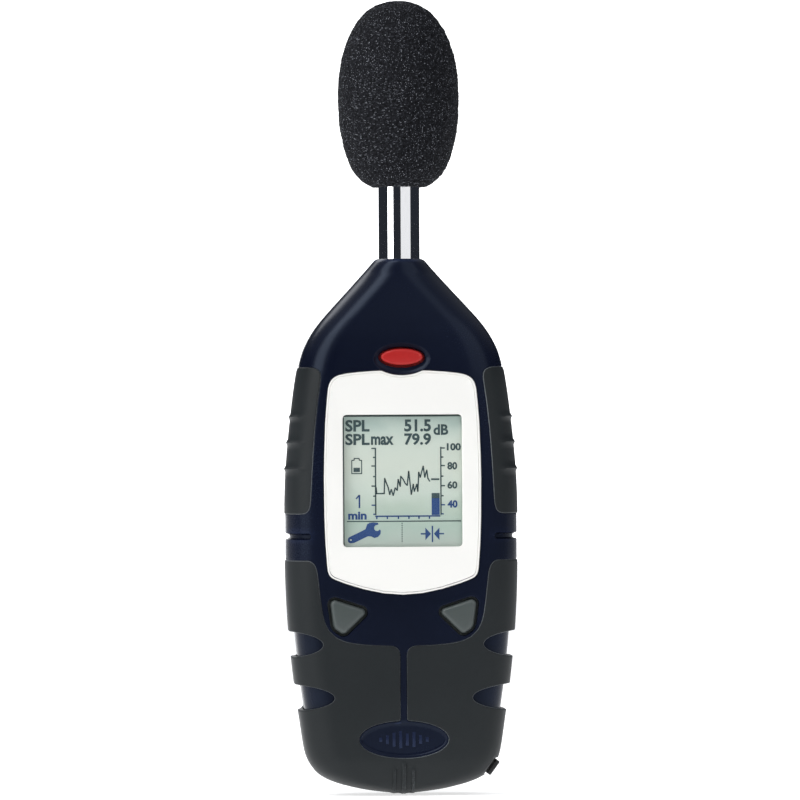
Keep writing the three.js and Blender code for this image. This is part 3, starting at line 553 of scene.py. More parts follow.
def ellipse(x, z, a, b, n=72):
    t = np.arange(n) * 2 * math.pi / n
    return np.stack([x + a * np.cos(t), z + b * np.sin(t)], 1)


def rounded(x0, x1, z0, z1, r, n=8):
    out = []
    for cx, cz, q in ((x1 - r, z1 - r, 0), (x0 + r, z1 - r, 1), (x0 + r, z0 + r, 2), (x1 - r, z0 + r, 3)):
        for i in range(n + 1):
            t = (q + i / n) * math.pi / 2
            out.append((cx + r * math.cos(t), cz + r * math.sin(t)))
    return np.array(out)


def filleted(corners, n=8):
    out, m = [], len(corners)
    for i, (x, z, r) in enumerate(corners):
        p = np.array([x, z], float)
        u = np.array(corners[i - 1][:2]) - p
        v = np.array(corners[(i + 1) % m][:2]) - p
        if r <= 0:
            out.append(p)
            continue
        u /= np.linalg.norm(u); v /= np.linalg.norm(v)
        half = math.acos(max(-1, min(1, float(u @ v)))) / 2
        reach = r / math.tan(half)
        c = p + (u + v) / np.linalg.norm(u + v) * r / math.sin(half)
        s, e = p + u * reach - c, p + v * reach - c
        a0 = math.atan2(s[1], s[0])
        da = (math.atan2(e[1], e[0]) - a0 + math.pi) % (2 * math.pi) - math.pi
        for k in range(n + 1):
            t = a0 + da * k / n
            out.append(c + r * np.array([math.cos(t), math.sin(t)]))
    return np.array(out)


def flip(p):
    return np.asarray(p, float) * [-1, 1]


def inside(points, poly):
    x, y = points[:, 0], points[:, 1]
    res = np.zeros(len(points), bool)
    px, py = poly[:, 0], poly[:, 1]
    qx, qy = np.roll(px, -1), np.roll(py, -1)
    for i in range(len(poly)):
        cond = (py[i] > y) != (qy[i] > y)
        if not cond.any():
            continue
        xi = (qx[i] - px[i]) * (y[cond] - py[i]) / (qy[i] - py[i] + 1e-30) + px[i]
        idx = np.nonzero(cond)[0]
        res[idx] ^= x[cond] < xi
    return res


def distance(points, poly, closed=True):
    """Distance from each point to a polyline."""
    a = poly
    b = np.roll(poly, -1, 0) if closed else poly[1:]
    a = a if closed else poly[:-1]
    ab = b - a
    L = np.maximum((ab**2).sum(1), 1e-18)
    out = np.empty(len(points))
    for i in range(0, len(points), 4000):
        p = points[i : i + 4000, None, :] - a[None]
        t = np.clip((p * ab).sum(2) / L, 0, 1)
        out[i : i + 4000] = np.sqrt(((p - t[..., None] * ab) ** 2).sum(2)).min(1)
    return out


def signed(points, poly):
    """Positive inside the outline."""
    d = distance(points, poly)
    return np.where(inside(points, poly), d, -d)


def rounding(d, r):
    """Height lost at distance d inside an edge of radius r."""
    d = np.clip(d, 0, r)
    return r - np.sqrt(np.maximum(r * r - (r - d) ** 2, 0))


def sheet(outer, holes, curves, spacing, height, floor, surface, zones=()):
    """A closed thick sheet over a domain: top at height(q), back at floor. zones are (outline, finer spacing)."""
    outer = ccw(outer)
    pts, edges = [], []

    def add(curve, closed=True):
        base = len(pts)
        pts.extend(curve.tolist())
        n = len(curve)
        edges.extend([(base + i, base + (i + 1) % n) for i in range(n if closed else n - 1)])

    add(outer)
    for h in holes:
        add(np.asarray(h))
    for c in curves:
        c, closed = c if isinstance(c, tuple) else (c, True)
        add(np.asarray(c), closed)
    fixed = np.array(pts)
    lo, hi = outer.min(0), outer.max(0)

    def lattice(step, within=None, without=None):
        nx, ny = int((hi[0] - lo[0]) / step) + 2, int((hi[1] - lo[1]) / (step * 0.866)) + 2
        g = np.array([(lo[0] + (i + 0.5 * (j % 2)) * step, lo[1] + j * step * 0.866) for j in range(ny) for i in range(nx)])
        ok = inside(g, outer)
        if within is not None:
            ok &= inside(g, within)
        for w in without or ():
            ok &= ~inside(g, w)
        g = g[ok]
        # stay clear of constraint points
        cell = step * 0.5
        near = set()
        for p in fixed:
            cx, cy = int(math.floor(p[0] / cell)), int(math.floor(p[1] / cell))
            for dx in (-1, 0, 1):
                for dy in (-1, 0, 1):
                    near.add((cx + dx, cy + dy))
        keep = [k for k, p in enumerate(g) if (int(math.floor(p[0] / cell)), int(math.floor(p[1] / cell))) not in near]
        return g[keep]

    grids = [lattice(spacing, None, [z for z, _ in zones])]
    for z, step in zones:
        grids.append(lattice(step, np.asarray(z)))
    allpts = np.vstack([fixed] + grids)
    res = delaunay_2d_cdt([Vector(p) for p in allpts], edges, [], 0, 1e-4, False)
    q = np.array([tuple(v) for v in res[0]])
    tri = np.array([f for f in res[2] if len(f) == 3])
    cen = q[tri].mean(1)
    keep = inside(cen, outer)
    for h in holes:
        keep &= ~inside(cen, np.asarray(h))
    p0, p1, p2 = q[tri[:, 0]], q[tri[:, 1]], q[tri[:, 2]]
    ar = (p1[:, 0] - p0[:, 0]) * (p2[:, 1] - p0[:, 1]) - (p1[:, 1] - p0[:, 1]) * (p2[:, 0] - p0[:, 0])
    keep &= np.abs(ar) > 1e-9
    tri = tri[keep]
    ar = ar[keep]
    tri[ar < 0] = tri[ar < 0][:, ::-1]
    used = np.unique(tri)
    remap = -np.ones(len(q), int)
    remap[used] = np.arange(len(used))
    q, tri = q[used], remap[tri]
    sheet.plan = q
    top = surface.point(q, height(q))
    fl = floor(q) if callable(floor) else np.full(len(q), float(floor))
    bot = surface.point(q, fl)
    n = len(q)
    e = np.vstack([tri[:, [0, 1]], tri[:, [1, 2]], tri[:, [2, 0]]])
    have = set(map(tuple, e.tolist()))
    rim = [(a, b) for a, b in have if (b, a) not in have]
    faces = tri.tolist() + (tri[:, ::-1] + n).tolist() + [(b, a, a + n, b + n) for a, b in rim]
    return np.vstack([top, bot]) * MM, faces


def sheet_object(name, material, *args, sharp=35.0, **kw):
    v, f = sheet(*args, **kw)
    ob = make_object(name, v, f, material, sharp)
    fix_normals(ob, 0)
    ob.data.polygons.foreach_set("use_smooth", [True] * len(ob.data.polygons))
    ob.data.set_sharp_from_angle(angle=math.radians(sharp))
    return ob


def lathe(profile, n=96, at=(0, 0, 0), axis="Z"):
    """Revolves (r, z) points; r=0 ends close on the axis, otherwise the profile closes on itself."""
    prof = [(r, z) for r, z in profile]
    verts, rings = [], []
    for r, z in prof:
        if r < 1e-9:
            rings.append([len(verts)])
            verts.append((0, 0, z))
        else:
            rings.append(list(range(len(verts), len(verts) + n)))
            verts.extend([(r * math.cos(2 * math.pi * i / n), r * math.sin(2 * math.pi * i / n), z) for i in range(n)])
    faces = []
    pairs = list(zip(rings, rings[1:]))
    if len(rings[0]) > 1 and len(rings[-1]) > 1:
        pairs.append((rings[-1], rings[0]))
    for a, b in pairs:
        if len(a) == 1 and len(b) == 1:
            continue
        for i in range(n):
            j = (i + 1) % n
            if len(a) == 1:
                faces.append((a[0], b[j], b[i]))
            elif len(b) == 1:
                faces.append((a[i], a[j], b[0]))
            else:
                faces.append((a[i], a[j], b[j], b[i]))
    v = np.array(verts)
    if axis == "Y":
        v = np.stack([v[:, 0], v[:, 2], -v[:, 1]], 1)
    elif axis == "-Y":
        v = np.stack([v[:, 0], -v[:, 2], v[:, 1]], 1)
    return (v + at) * MM, faces


def arc_points(cx, cz, r, a0, a1, n=6):
    return [(cx + r * math.cos(math.radians(a0 + (a1 - a0) * i / n)), cz + r * math.sin(math.radians(a0 + (a1 - a0) * i / n))) for i in range(n + 1)]


def lathe_object(name, material, profile, sharp=35.0, **kw):
    v, f = lathe(profile, **kw)
    ob = make_object(name, v, f, material, sharp)
    fix_normals(ob)
    ob.data.polygons.foreach_set("use_smooth", [True] * len(ob.data.polygons))
    ob.data.set_sharp_from_angle(angle=math.radians(sharp))
    return ob


def block(x0, x1, y0, y1, z0, z1, r=0.0, seg=3):
    """A box with rounded edges, as verts and faces in millimetres."""
    bm = bmesh.new()
    bmesh.ops.create_cube(bm, size=1.0)
    for v in bm.verts:
        v.co = Vector(((x0 + x1) / 2 + v.co.x * (x1 - x0), (y0 + y1) / 2 + v.co.y * (y1 - y0), (z0 + z1) / 2 + v.co.z * (z1 - z0)))
    if r > 0:
        bmesh.ops.bevel(bm, geom=list(bm.edges), offset=r, segments=seg, profile=0.5, affect="EDGES", clamp_overlap=True)
    v = [tuple(x.co) for x in bm.verts]
    f = [tuple(l.index for l in p.verts) for p in bm.faces]
    bm.free()
    return np.array(v), f


def mm_object(name, material, parts, sharp=35.0, matrix=None):
    v, f = join_pieces(name, [(np.asarray(a).tolist(), b) for a, b in parts])
    v = np.array(v)
    if matrix is not None:
        v = v @ matrix[:3, :3].T + matrix[:3, 3]
    ob = make_object(name, v * MM, f, material, sharp)
    fix_normals(ob, 0)
    ob.data.polygons.foreach_set("use_smooth", [True] * len(ob.data.polygons))
    ob.data.set_sharp_from_angle(angle=math.radians(sharp))
    return ob


# ------------------------------------------------------------------ outlines of the object, in X and Z
LOWER_INNER = [
    (29.4, 72.5), (28.3, 72.2), (27.2, 71.2), (26.5, 69.4), (26.0, 65.6), (25.5, 61.0), (24.8, 56.0), (24.1, 53.3), (23.0, 51.0), (20.9, 48.9),
    (18.2, 47.6), (15.4, 46.95), (12.0, 46.55), (8.5, 46.3), (4.6, 46.2), (2.9, 46.05), (1.9, 45.5), (1.2, 44.6), (0.95, 43.3), (0.95, 36), (0.95, 28),
]
BADGE = (0.0, 17.15, 13.8, 5.7)
a0 = math.acos(0.95 / BADGE[2])
badge_arc = [(BADGE[2] * math.cos(a0 - i / 36 * (a0 + math.pi / 2)), BADGE[1] + BADGE[3] * math.sin(a0 - i / 36 * (a0 + math.pi / 2))) for i in range(37)]
UPPER = [
    (42, 132.2), (34, 132.2), (28.6, 132.2), (27.2, 132.0), (26.0, 131.5), (25.2, 130.6), (25.0, 129.2), (25.4, 126.0), (26.1, 121.0),
    (27.0, 112.5), (27.7, 102.5), (28.3, 91.6), (28.5, 89.4), (29.0, 87.9), (29.9, 87.0), (31.4, 86.7), (34, 86.7), (42, 86.7),
]
BEZEL_RIGHT = [
    (0, 61.65), (6, 62.1), (12, 63.35), (17.85, 65.15), (20.6, 66.2), (22.0, 66.85), (22.9, 67.7), (23.4, 69.0), (23.65, 71.2), (24.1, 77.4),
    (24.4, 86.0), (24.5, 98.0), (24.35, 105.0), (24.0, 115.0), (23.5, 121.5), (23.1, 125.4), (22.7, 127.0), (22.0, 128.3), (21.0, 129.2),
    (19.6, 129.85), (17.6, 130.3), (13.3, 130.8), (9.0, 131.1), (6.4, 131.2),
]
DISH = (0.0, 134.7, 8.8, 4.95)
notch = []
for i in range(1, 12):
    th = -math.pi / 2 + (1 - i / 6) * 0.745
    notch.append((DISH[2] * math.cos(th), DISH[1] + DISH[3] * math.sin(th)))
BEZEL = np.array(BEZEL_RIGHT + notch + [(-x, z) for x, z in BEZEL_RIGHT[:0:-1]])
WINDOW = (18.4, 76.6, 117.4)
SOFT_KEY = [(22.9, 61.0, 1.5), (10.6, 57.0, 1.3), (18.4, 49.4, 1.7), (21.6, 51.6, 3.0)]
START_KEY = (0.0, 135.2, 6.75, 2.8)


def key_oval(d, n=72):
    return ellipse(START_KEY[0], START_KEY[1], START_KEY[2] + d, START_KEY[3] + d, n)


def soft_key(d):
    return grow(thin_out(resample(filleted(SOFT_KEY, 10), 0.4), 0.2), d)



SCALLOP = [(46.5, 24.9, 4.25), (30.0, 21.4, 4.35)]


def scallop_curve(surface, zc, tip, b, gap, limit=None):
    """The notch's edge from the parting plane below, round its tip, to the parting plane above (right side).
    With a limit the notch keeps its mouth and is squeezed so that its tip stops at x = limit."""
    th = np.linspace(-math.pi / 2, math.pi / 2, 61)
    x = 41 - (41 - tip) * np.cos(th)
    z = zc + b * np.sin(th)
    ok = x < np.interp(z, ZS, WS) - 0.02
    q = surface.st(np.stack([x[ok], z[ok]], 1), gap)
    if limit is not None:
        mouth = np.array([float(surface.edge(t, gap)) for t in q[:, 1]])
        depth = mouth - q[:, 0]
        near, far = depth.min(), depth.max()
        wanted = mouth[len(q) // 2] - surface.st([(limit, zc)], gap)[0][0]
        q[:, 0] = mouth - near - np.clip((depth - near) / (far - near), 0, 1) ** 0.6 * (wanted - near)
    lo, hi = q[0], q[-1]
    s_lo, s_hi = float(surface.edge(lo[1], gap)), float(surface.edge(hi[1], gap))
    down = np.stack([np.linspace(s_lo, lo[0], 12, endpoint=False), np.full(12, lo[1])], 1)
    up = np.stack([np.linspace(hi[0], s_hi, 13)[1:], np.full(12, hi[1])], 1)
    return np.vstack([down, q, up])


def edge_run(surface, t0, t1, gap, step=0.6):
    """Points on the parting plane between two heights, ends left out."""
    n = max(2, int(abs(t1 - t0) / step))
    t = np.linspace(t0, t1, n + 1)[1:-1]
    return np.stack([surface.edge(t, gap), t], 1)


def t_of(z):
    return float(np.interp(z, ZS, TS))


def region_lower(surface, inner, gap, scallops, limits=(None, None)):
    """Outline of a lower grip on the unrolled surface. inner runs from the right parting plane to the middle line."""
    right = surface.st(inner, gap)
    t_top = right[0][1]
    side = []
    t_now = t_top
    for (zc, tip, b), limit in zip(scallops, limits):
        c = scallop_curve(surface, zc, tip, b, gap, limit)[::-1]
        side.append(edge_run(surface, t_now, c[0][1], gap))
        side.append(c)
        t_now = c[-1][1]
    side.append(edge_run(surface, t_now, 0.0, gap))
    side = np.vstack(side)
    bottom_s = float(surface.edge(0.0, gap))
    right_half = np.vstack([side[::-1], [(float(surface.edge(t_top, gap)), t_top)], right])
    bottom = np.stack([np.linspace(-bottom_s, bottom_s, 24), np.zeros(24)], 1)
    out = np.vstack([bottom, right_half, flip(right_half[::-1])[1:] if abs(right_half[-1][0]) < 1e-6 else flip(right_half[::-1])])
    return thin_out(out, 0.08)


def past_foot(region):
    """A pocket's outline carried a little past the foot, so that no wall is left there."""
    r = region.copy()
    r[r[:, 1] < 1e-6, 1] = -1.0
    return r


inner_front = [(42, 72.5)] + [tuple(p) for p in LOWER_INNER] + badge_arc
xz = np.array(inner_front)
fine = smooth_outline(xz[1:], 0.5, 2, closed=False)
fine[-1] = (0.0, BADGE[1] - BADGE[3])
run_in = np.stack([np.linspace(35.8, fine[0][0], 24, endpoint=False), np.full(24, 72.5)], 1)
LOWER_FRONT = region_lower(FRONT, np.vstack([run_in, fine]), 0.30, SCALLOP)
LOWER_FRONT_PLAIN = past_foot(region_lower(FRONT, np.vstack([run_in, fine]), -1.0, []))

REAR_INNER = [(31.4, 72.5), (30.4, 72.2), (29.6, 71.5), (29.1, 70.3), (29.0, 68.0), (29.0, 40.0), (29.0, 19.0), (28.8, 15.8), (28.2, 13.6), (27.0, 12.3), (24.0, 11.2), (12.0, 9.3), (0, 8.4)]
fine_r = smooth_outline(REAR_INNER, 0.5, 2, closed=False)
fine_r[-1] = (0, 8.4)
run_r = np.stack([np.linspace(35.8, fine_r[0][0], 18, endpoint=False), np.full(18, 72.5)], 1)
LOWER_REAR = region_lower(REAR, np.vstack([run_r, fine_r]), 0.30, SCALLOP, (31.0, 30.1))
LOWER_REAR_PLAIN = past_foot(region_lower(REAR, np.vstack([run_r, fine_r]), -1.0, []))


def region_upper(surface, gap):
    p = smooth_outline(np.array(UPPER[1:-1]), 0.5, 2, closed=False)
    q = surface.st(p, gap)
    top, bot = q[0], q[-1]
    s_t, s_b = float(surface.edge(top[1], gap)), float(surface.edge(bot[1], gap))
    a = np.stack([np.linspace(s_t, top[0], 10, endpoint=False), np.full(10, top[1])], 1)
    b = np.stack([np.linspace(bot[0], s_b, 11)[1:], np.full(10, bot[1])], 1)
    return thin_out(np.vstack([a, q, b, edge_run(surface, bot[1], top[1], gap)]), 0.08)


UPPER_FRONT, UPPER_REAR = region_upper(FRONT, 0.30), region_upper(REAR, 0.30)
UPPER_FRONT_PLAIN, UPPER_REAR_PLAIN = region_upper(FRONT, -1.0), region_upper(REAR, -1.0)

# the port corner: a facet that faces right and down
TILT = math.radians(36)
PORT_N = np.array([math.cos(TILT), 0, -math.sin(TILT)])
PORT_Z = np.array([math.sin(TILT), 0, math.cos(TILT)])
PORT_O = np.array([27.55, 0, 8.35])
PORT = np.eye(4)
PORT[:3, 0], PORT[:3, 1], PORT[:3, 2], PORT[:3, 3] = PORT_N, (0, 1, 0), PORT_Z, PORT_O


def port_local(p):
    d = p - PORT_O
    return d @ PORT_N, p[:, 1], d @ PORT_Z


class PortCasing(Casing):
    """The casing with its port corner cut flat, and its socket opening sunk."""

    def __init__(self, side, half_y, half_z, depth=0.0, sink=0.0):
        super().__init__(side)
        self.hy, self.hz, self.depth, self.sink = half_y, half_z, depth, sink

    def point(self, q, off):
        p = super().point(q, off)
        u, y, v = port_local(p)
        on = (np.abs(y) < self.hy) & (np.abs(v) < self.hz)
        want = np.where(on, self.depth, 1e9)
        if self.sink:
            on2 = (np.abs(y) < 6.7) & (np.abs(v) < 2.15) | (y > 7.5) & (y < 9.9) & (np.abs(v) < 2.15)
            want = np.where(on2, self.depth - self.sink, want)
        cut = u > want
        p[cut] -= (u[cut] - want[cut])[:, None] * PORT_N
        return p


def port_curve(surface, y0, y1, z0, z1, step=0.4):
    """A rectangle on the port facet, found on the unrolled surface."""
    rect = resample(np.array([(y0, z0), (y1, z0), (y1, z1), (y0, z1)], float), step)
    out = []
    for y, v in rect:
        q = np.array([[float(surface.edge(t_of(9.0), 0.15)) - abs(y) * 1.0, t_of(9.0 + v * 0.6)]])
        for _ in range(30):
            p = surface.raw(q)
            _, yy, vv = port_local(p)
            f = np.array([yy[0] - y, vv[0] - v])
            e = 1e-3
            pa, pb = surface.raw(q + [e, 0]), surface.raw(q + [0, e])
            J = np.array([[(pa[0, 1] - p[0, 1]) / e, (pb[0, 1] - p[0, 1]) / e], [(port_local(pa)[2][0] - vv[0]) / e, (port_local(pb)[2][0] - vv[0]) / e]])
            try:
                dq = np.linalg.solve(J, -f)
            except np.linalg.LinAlgError:
                break
            q = q + np.clip(dq, -2, 2)
            if np.abs(f).max() < 1e-5:
                break
        out.append(q[0])
    return np.array(out)


# ------------------------------------------------------------------ casing halves
def casing_domain(surface, gap=0.15):
    t = np.concatenate([[0], np.linspace(0.4, T_TOP, 320)])
    s = surface.edge(t, gap)
    right = np.stack([s, t], 1)
    top = np.stack([np.linspace(s[-1], -s[-1], 40)[1:-1], np.full(38, t[-1])], 1)
    bottom = np.stack([np.linspace(-s[0], s[0], 24)[1:-1], np.zeros(22)], 1)
    return np.vstack([bottom, right, top, flip(right[::-1])])


def rings(p, ds):
    return [thin_out(grow(p, d), 0.06) for d in ds]


def clip_rings(curves, surface, gap=0.17):
    """Keeps only the stretches of each curve that lie on the casing half, as open curves."""
    out = []
    for c in curves:
        ok = (np.abs(c[:, 0]) < surface.edge(c[:, 1], gap)) & (c[:, 1] > 0.05) & (c[:, 1] < T_TOP - 0.05)
        if ok.all():
            out.append(c)
            continue
        if not ok.any():
            continue
        start = int(np.argmin(ok))
        c, ok = np.roll(c, -start, 0), np.roll(ok, -start)
        i = 0
        while i < len(c):
            if ok[i]:
                j = i
                while j < len(c) and ok[j]:
                    j += 1
                if j - i > 2:
                    out.append((c[i:j], False))
                i = j
            else:
                i += 1
    return out


def step_down(d, depth, soft=0.12, wall=0.06):
    """Height of a pocket edge: d is positive inside the pocket."""
    lip = -rounding(np.clip(-d, 0, soft), soft)
    return np.where(d > 0, -depth * np.clip(d / wall, 0, 1), 0) + np.where((d <= 0) & (d > -soft), lip, 0)


bez = thin_out(smooth_outline(BEZEL, 0.45, 1), 0.15)
BEZEL_ST = FRONT.st(bez)
DISH_ST = FRONT.st(ellipse(*DISH, 96))
KEYHOLE_ST = FRONT.st(key_oval(0.42))
SOFT_HOLE_R = FRONT.st(soft_key(0.82))
SOFT_HOLE_L = flip(SOFT_HOLE_R)
WINDOW_ST = FRONT.st(thin_out(resample(rounded(-20.6, 20.6, 74.4, 119.6, 1.0), 0.8), 0.1))
BADGE_ST = FRONT.st(ellipse(*BADGE, 110))
SKIN = -0.3


def slot_outline(surface, z0=78.8, z1=80.9, x0=28.4):
    """The side slot: a shallow groove from x0 round to the parting plane, with a rounded inner end."""
    r = (z1 - z0) / 2
    zc = (z0 + z1) / 2
    end = [(x0 + r - r * math.cos(a), zc + r * math.sin(a)) for a in np.linspace(math.pi / 2, -math.pi / 2, 13)]
    p = surface.st(np.array(end))
    s1 = float(surface.edge(t_of(zc), 0.15)) + 0.6
    top = np.stack([np.linspace(s1, p[0][0], 30, endpoint=False), np.full(30, p[0][1])], 1)
    bot = np.stack([np.linspace(p[-1][0], s1, 31)[1:], np.full(30, p[-1][1])], 1)
    return np.vstack([top, p, bot])


def gradual(d, depth, width):
    """Smooth recess: depth is reached width inside the edge."""
    t = np.clip(d / width, 0, 1)
    return -depth * t * t * (3 - 2 * t)


SLOT_F, SLOT_R = slot_outline(FRONT), slot_outline(REAR)


def front_height(q):
    h = np.full(len(q), SKIN)
    for region in (LOWER_FRONT_PLAIN, UPPER_FRONT_PLAIN, flip(UPPER_FRONT_PLAIN)[::-1]):
        h += step_down(signed(q, region), 1.6)
    dish = signed(q, DISH_ST)
    bezel = signed(q, BEZEL_ST)
    slot = np.maximum(signed(q, SLOT_F), signed(q, flip(SLOT_F)))
    h -= np.where(bezel <= 0.0, 0.8 * np.sin(np.clip(dish / 1.6, 0, 1) * math.pi / 2), 0)
    h += step_down(bezel, 1.8)
    h += gradual(slot, 1.3, 0.55)
    for hole in (KEYHOLE_ST, SOFT_HOLE_L, SOFT_HOLE_R):
        h -= rounding(np.clip(-signed(q, hole), 0, 0.25), 0.25)
    badge = signed(q, BADGE_ST)
    h += gradual(badge - 0.5, 0.34, 0.5)
    return h


slots_f = rings(SLOT_F, [0, -0.12, -0.3, -0.55]) + rings(flip(SLOT_F), [0, -0.12, -0.3, -0.55])
pads_f = []
for region in (LOWER_FRONT_PLAIN, UPPER_FRONT_PLAIN, flip(UPPER_FRONT_PLAIN)[::-1]):
    pads_f += rings(region, [0.21, 0.12, 0.05, 0.0, -0.06])
front_curves = clip_rings(
    pads_f + slots_f + rings(BEZEL_ST, [0.21, 0.12, 0.05, 0, -0.06]) + rings(DISH_ST, [0.12, 0, -0.12, -0.35, -0.8, -1.2, -1.6]) + rings(KEYHOLE_ST, [0.1, 0.25, 0.34])
    + rings(SOFT_HOLE_L, [0.1, 0.25, 0.34]) + rings(SOFT_HOLE_R, [0.1, 0.25, 0.34]) + rings(BADGE_ST, [-0.5, -0.62, -0.75, -0.9, -1.05]),
    FRONT,
)
BADGE_ZONE = FRONT.st(ellipse(0, 17.15, 12.4, 4.3, 60))
port_f = PortCasing(-1, 10.4, 3.1, 0.0, 1.7)
port_r = PortCasing(1, 10.4, 3.1, 0.0, 1.7)


port_rects_f = [port_curve(FRONT, -10.4, -0.2, -3.1, 3.1), port_curve(FRONT, -6.7, -0.2, -2.15, 2.15), port_curve(FRONT, -6.64, -0.2, -2.09, 2.09)]
port_rects_r = [port_curve(REAR, 0.2, 10.4, -3.1, 3.1), port_curve(REAR, 0.2, 6.7, -2.15, 2.15), port_curve(REAR, 7.5, 9.9, -2.15, 2.15)]

casing_front = sheet_object(
    "front_housing_shell", MAT["casing"], casing_domain(FRONT), [WINDOW_ST, KEYHOLE_ST, SOFT_HOLE_L, SOFT_HOLE_R],
    front_curves + clip_rings(port_rects_f, FRONT), 1.15, front_height, -3.1, port_f, sharp=40, zones=[(BADGE_ZONE, 0.45)],
)
finish_piece(casing_front, "case", "front_housing")

COVER = rounded(-23.4, 23.4, 15.0, 82.0, 2.0, 10)
SEAT_ST = REAR.st(thin_out(resample(rounded(-23.7, 23.7, 14.7, 82.3, 2.3, 10), 0.8), 0.1))
BAY_ST = REAR.st(thin_out(resample(rounded(-22.7, 22.7, 20.5, 77.5, 0.6, 4), 1.0), 0.1))
SCREWS = [(-26.7, 30.0), (26.7, 30.0), (-20.0, 136.0), (20.0, 136.0)]
SCREW_ST = [REAR.st(ellipse(x, z, 2.5, 2.5, 40)) for x, z in SCREWS]
BUSH_ST = REAR.st(ellipse(0, 98, 4.85, 4.85, 64))
SCOOP_ST = REAR.st(ellipse(0, 83.4, 7, 3.6, 64))


def rear_height(q):
    h = np.full(len(q), SKIN)
    for region in (LOWER_REAR_PLAIN, UPPER_REAR_PLAIN, flip(UPPER_REAR_PLAIN)[::-1]):
        h += step_down(signed(q, region), 1.6)
    seat = signed(q, SEAT_ST)
    scoop = signed(q, SCOOP_ST)
    h += np.where(seat <= 0, gradual(scoop, 1.1, 2.2), 0)
    h += step_down(seat, 2.3)
    slot = np.maximum(signed(q, SLOT_R), signed(q, flip(SLOT_R)))
    h += gradual(slot, 1.3, 0.55)
    for hole in SCREW_ST + [BUSH_ST]:
        h -= rounding(np.clip(-signed(q, hole), 0, 0.3), 0.3)
    return np.maximum(h, -2.75)


slots_r = rings(SLOT_R, [0, -0.12, -0.3, -0.55]) + rings(flip(SLOT_R), [0, -0.12, -0.3, -0.55])
pads_r = []
for region in (LOWER_REAR_PLAIN, UPPER_REAR_PLAIN, flip(UPPER_REAR_PLAIN)[::-1]):
    pads_r += rings(region, [0.21, 0.12, 0.05, 0.0, -0.06])
hole_rings = []
for hole in SCREW_ST + [BUSH_ST]:
    hole_rings += rings(hole, [0.12, 0.3, 0.4])
rear_curves = clip_rings(
    pads_r + slots_r + rings(SEAT_ST, [0.21, 0.12, 0.05, 0, -0.06]) + rings(SCOOP_ST, [0, -0.4, -0.9, -1.5, -2.2]) + hole_rings, REAR
)
casing_rear = sheet_object(
    "rear_housing_shell", MAT["casing"], casing_domain(REAR), [BAY_ST, BUSH_ST] + SCREW_ST,
    rear_curves + clip_rings(port_rects_r, REAR), 1.3, rear_height, -3.1, port_r, sharp=40,
)
finish_piece(casing_rear, "case", "rear_housing")

# ------------------------------------------------------------------ soft grips
RIB_Z = (116.8, 108.9, 100.7)
FOOT_RIBS = ((0, 0.8), (-2.9, 0.58), (2.9, 0.58))


def grip_height(region, ribs=False, foot=False):
    def f(q):
        d = signed(q, region)
        z = np.interp(q[:, 1], TS, ZS)
        h = -rounding(d, 0.35)
        x = FRONT.raw(q)[:, 0]
        if ribs:
            for rz in RIB_Z:
                across = np.clip(1 - np.abs(z - rz) / 0.95, 0, 1)
                along = np.clip((np.abs(x) - 29.6) / 2.2, 0, 1)
                h += 0.48 * (across**2 * (3 - 2 * across)) * along * np.clip(d / 0.4, 0, 1)
        if foot:
            for cx, half in FOOT_RIBS:
                across = np.clip((half - np.abs(x - cx)) / 0.22, 0, 1)
                along = np.clip((10.0 - abs(cx) * 0.6 - z) / 0.7, 0, 1) * np.clip((z + 0.4) / 1.6, 0.3, 1)
                h += 0.42 * np.sin(across * math.pi / 2) * along * np.clip(d / 0.4, 0, 1)
        return h

    return f


def grip(name, node, region, surface, ribs=False, foot=False, port=None, zones=()):
    curves = []
    for d in (-0.05, -0.12, -0.22, -0.35, -0.45):
        curves.append(thin_out(grow(region, d), 0.07))
    if ribs:
        for rz in RIB_Z:
            for dz in (-0.95, -0.45, 0, 0.45, 0.95):
                t = t_of(rz + dz)
                s_in, s_out = surface.st([(29.0, rz + dz)])[0][0], float(surface.edge(t, 0.75))
                line = np.stack([np.linspace(s_in, s_out, 40), np.full(40, t)], 1)
                curves.append((line * ([-1, 1] if region[:, 0].mean() < 0 else [1, 1]), False))
    if foot:
        for cx, half in FOOT_RIBS:
            for dx in (-half, -half + 0.11, -half + 0.22, 0, half - 0.22, half - 0.11, half):
                zz = np.concatenate([np.linspace(0.8, 9.2 - abs(cx) * 0.6, 30), np.linspace(9.35 - abs(cx) * 0.6, 10.0 - abs(cx) * 0.6, 6)])
                line = surface.st(np.stack([np.full(36, cx + dx), zz], 1))
                curves.append((line, False))
    surf = PortCasing(surface.side, 11.0, 3.4, -0.9) if port else surface
    if port:
        curves += [(c, o) for c, o in [(x, False) if not isinstance(x, tuple) else x for x in clip_rings(port, surface, 0.35)]]
    ob = sheet_object(name, MAT["grip"], region, [], curves, 1.2, grip_height(region, ribs, foot), -1.5, surf, sharp=50, zones=zones)
    # a painted highlight along the moulding's edge, as a value on each vertex: 0.8 on the edge, 0 from 0.24 mm inside
    # it, 0.22 on ribs
    edge = signed(sheet.plan, region)
    line = 0.8 * np.clip((0.24 - edge) / 0.12, 0, 1)
    # the ribs' crests also get a little of the painted highlight
    raised = grip_height(region, ribs, foot)(sheet.plan) + rounding(edge, 0.35)  # the ribs' crests are a little paler
    line = np.maximum(line, 0.22 * np.clip((raised - 0.25) / 0.2, 0, 1))
    values = np.zeros(len(ob.data.vertices), np.float32)
    values[: len(line)] = line
    ob.data.attributes.new("painted_edge_light_shade", "FLOAT", "POINT").data.foreach_set("value", values)
    return finish_piece(ob, "case", node)


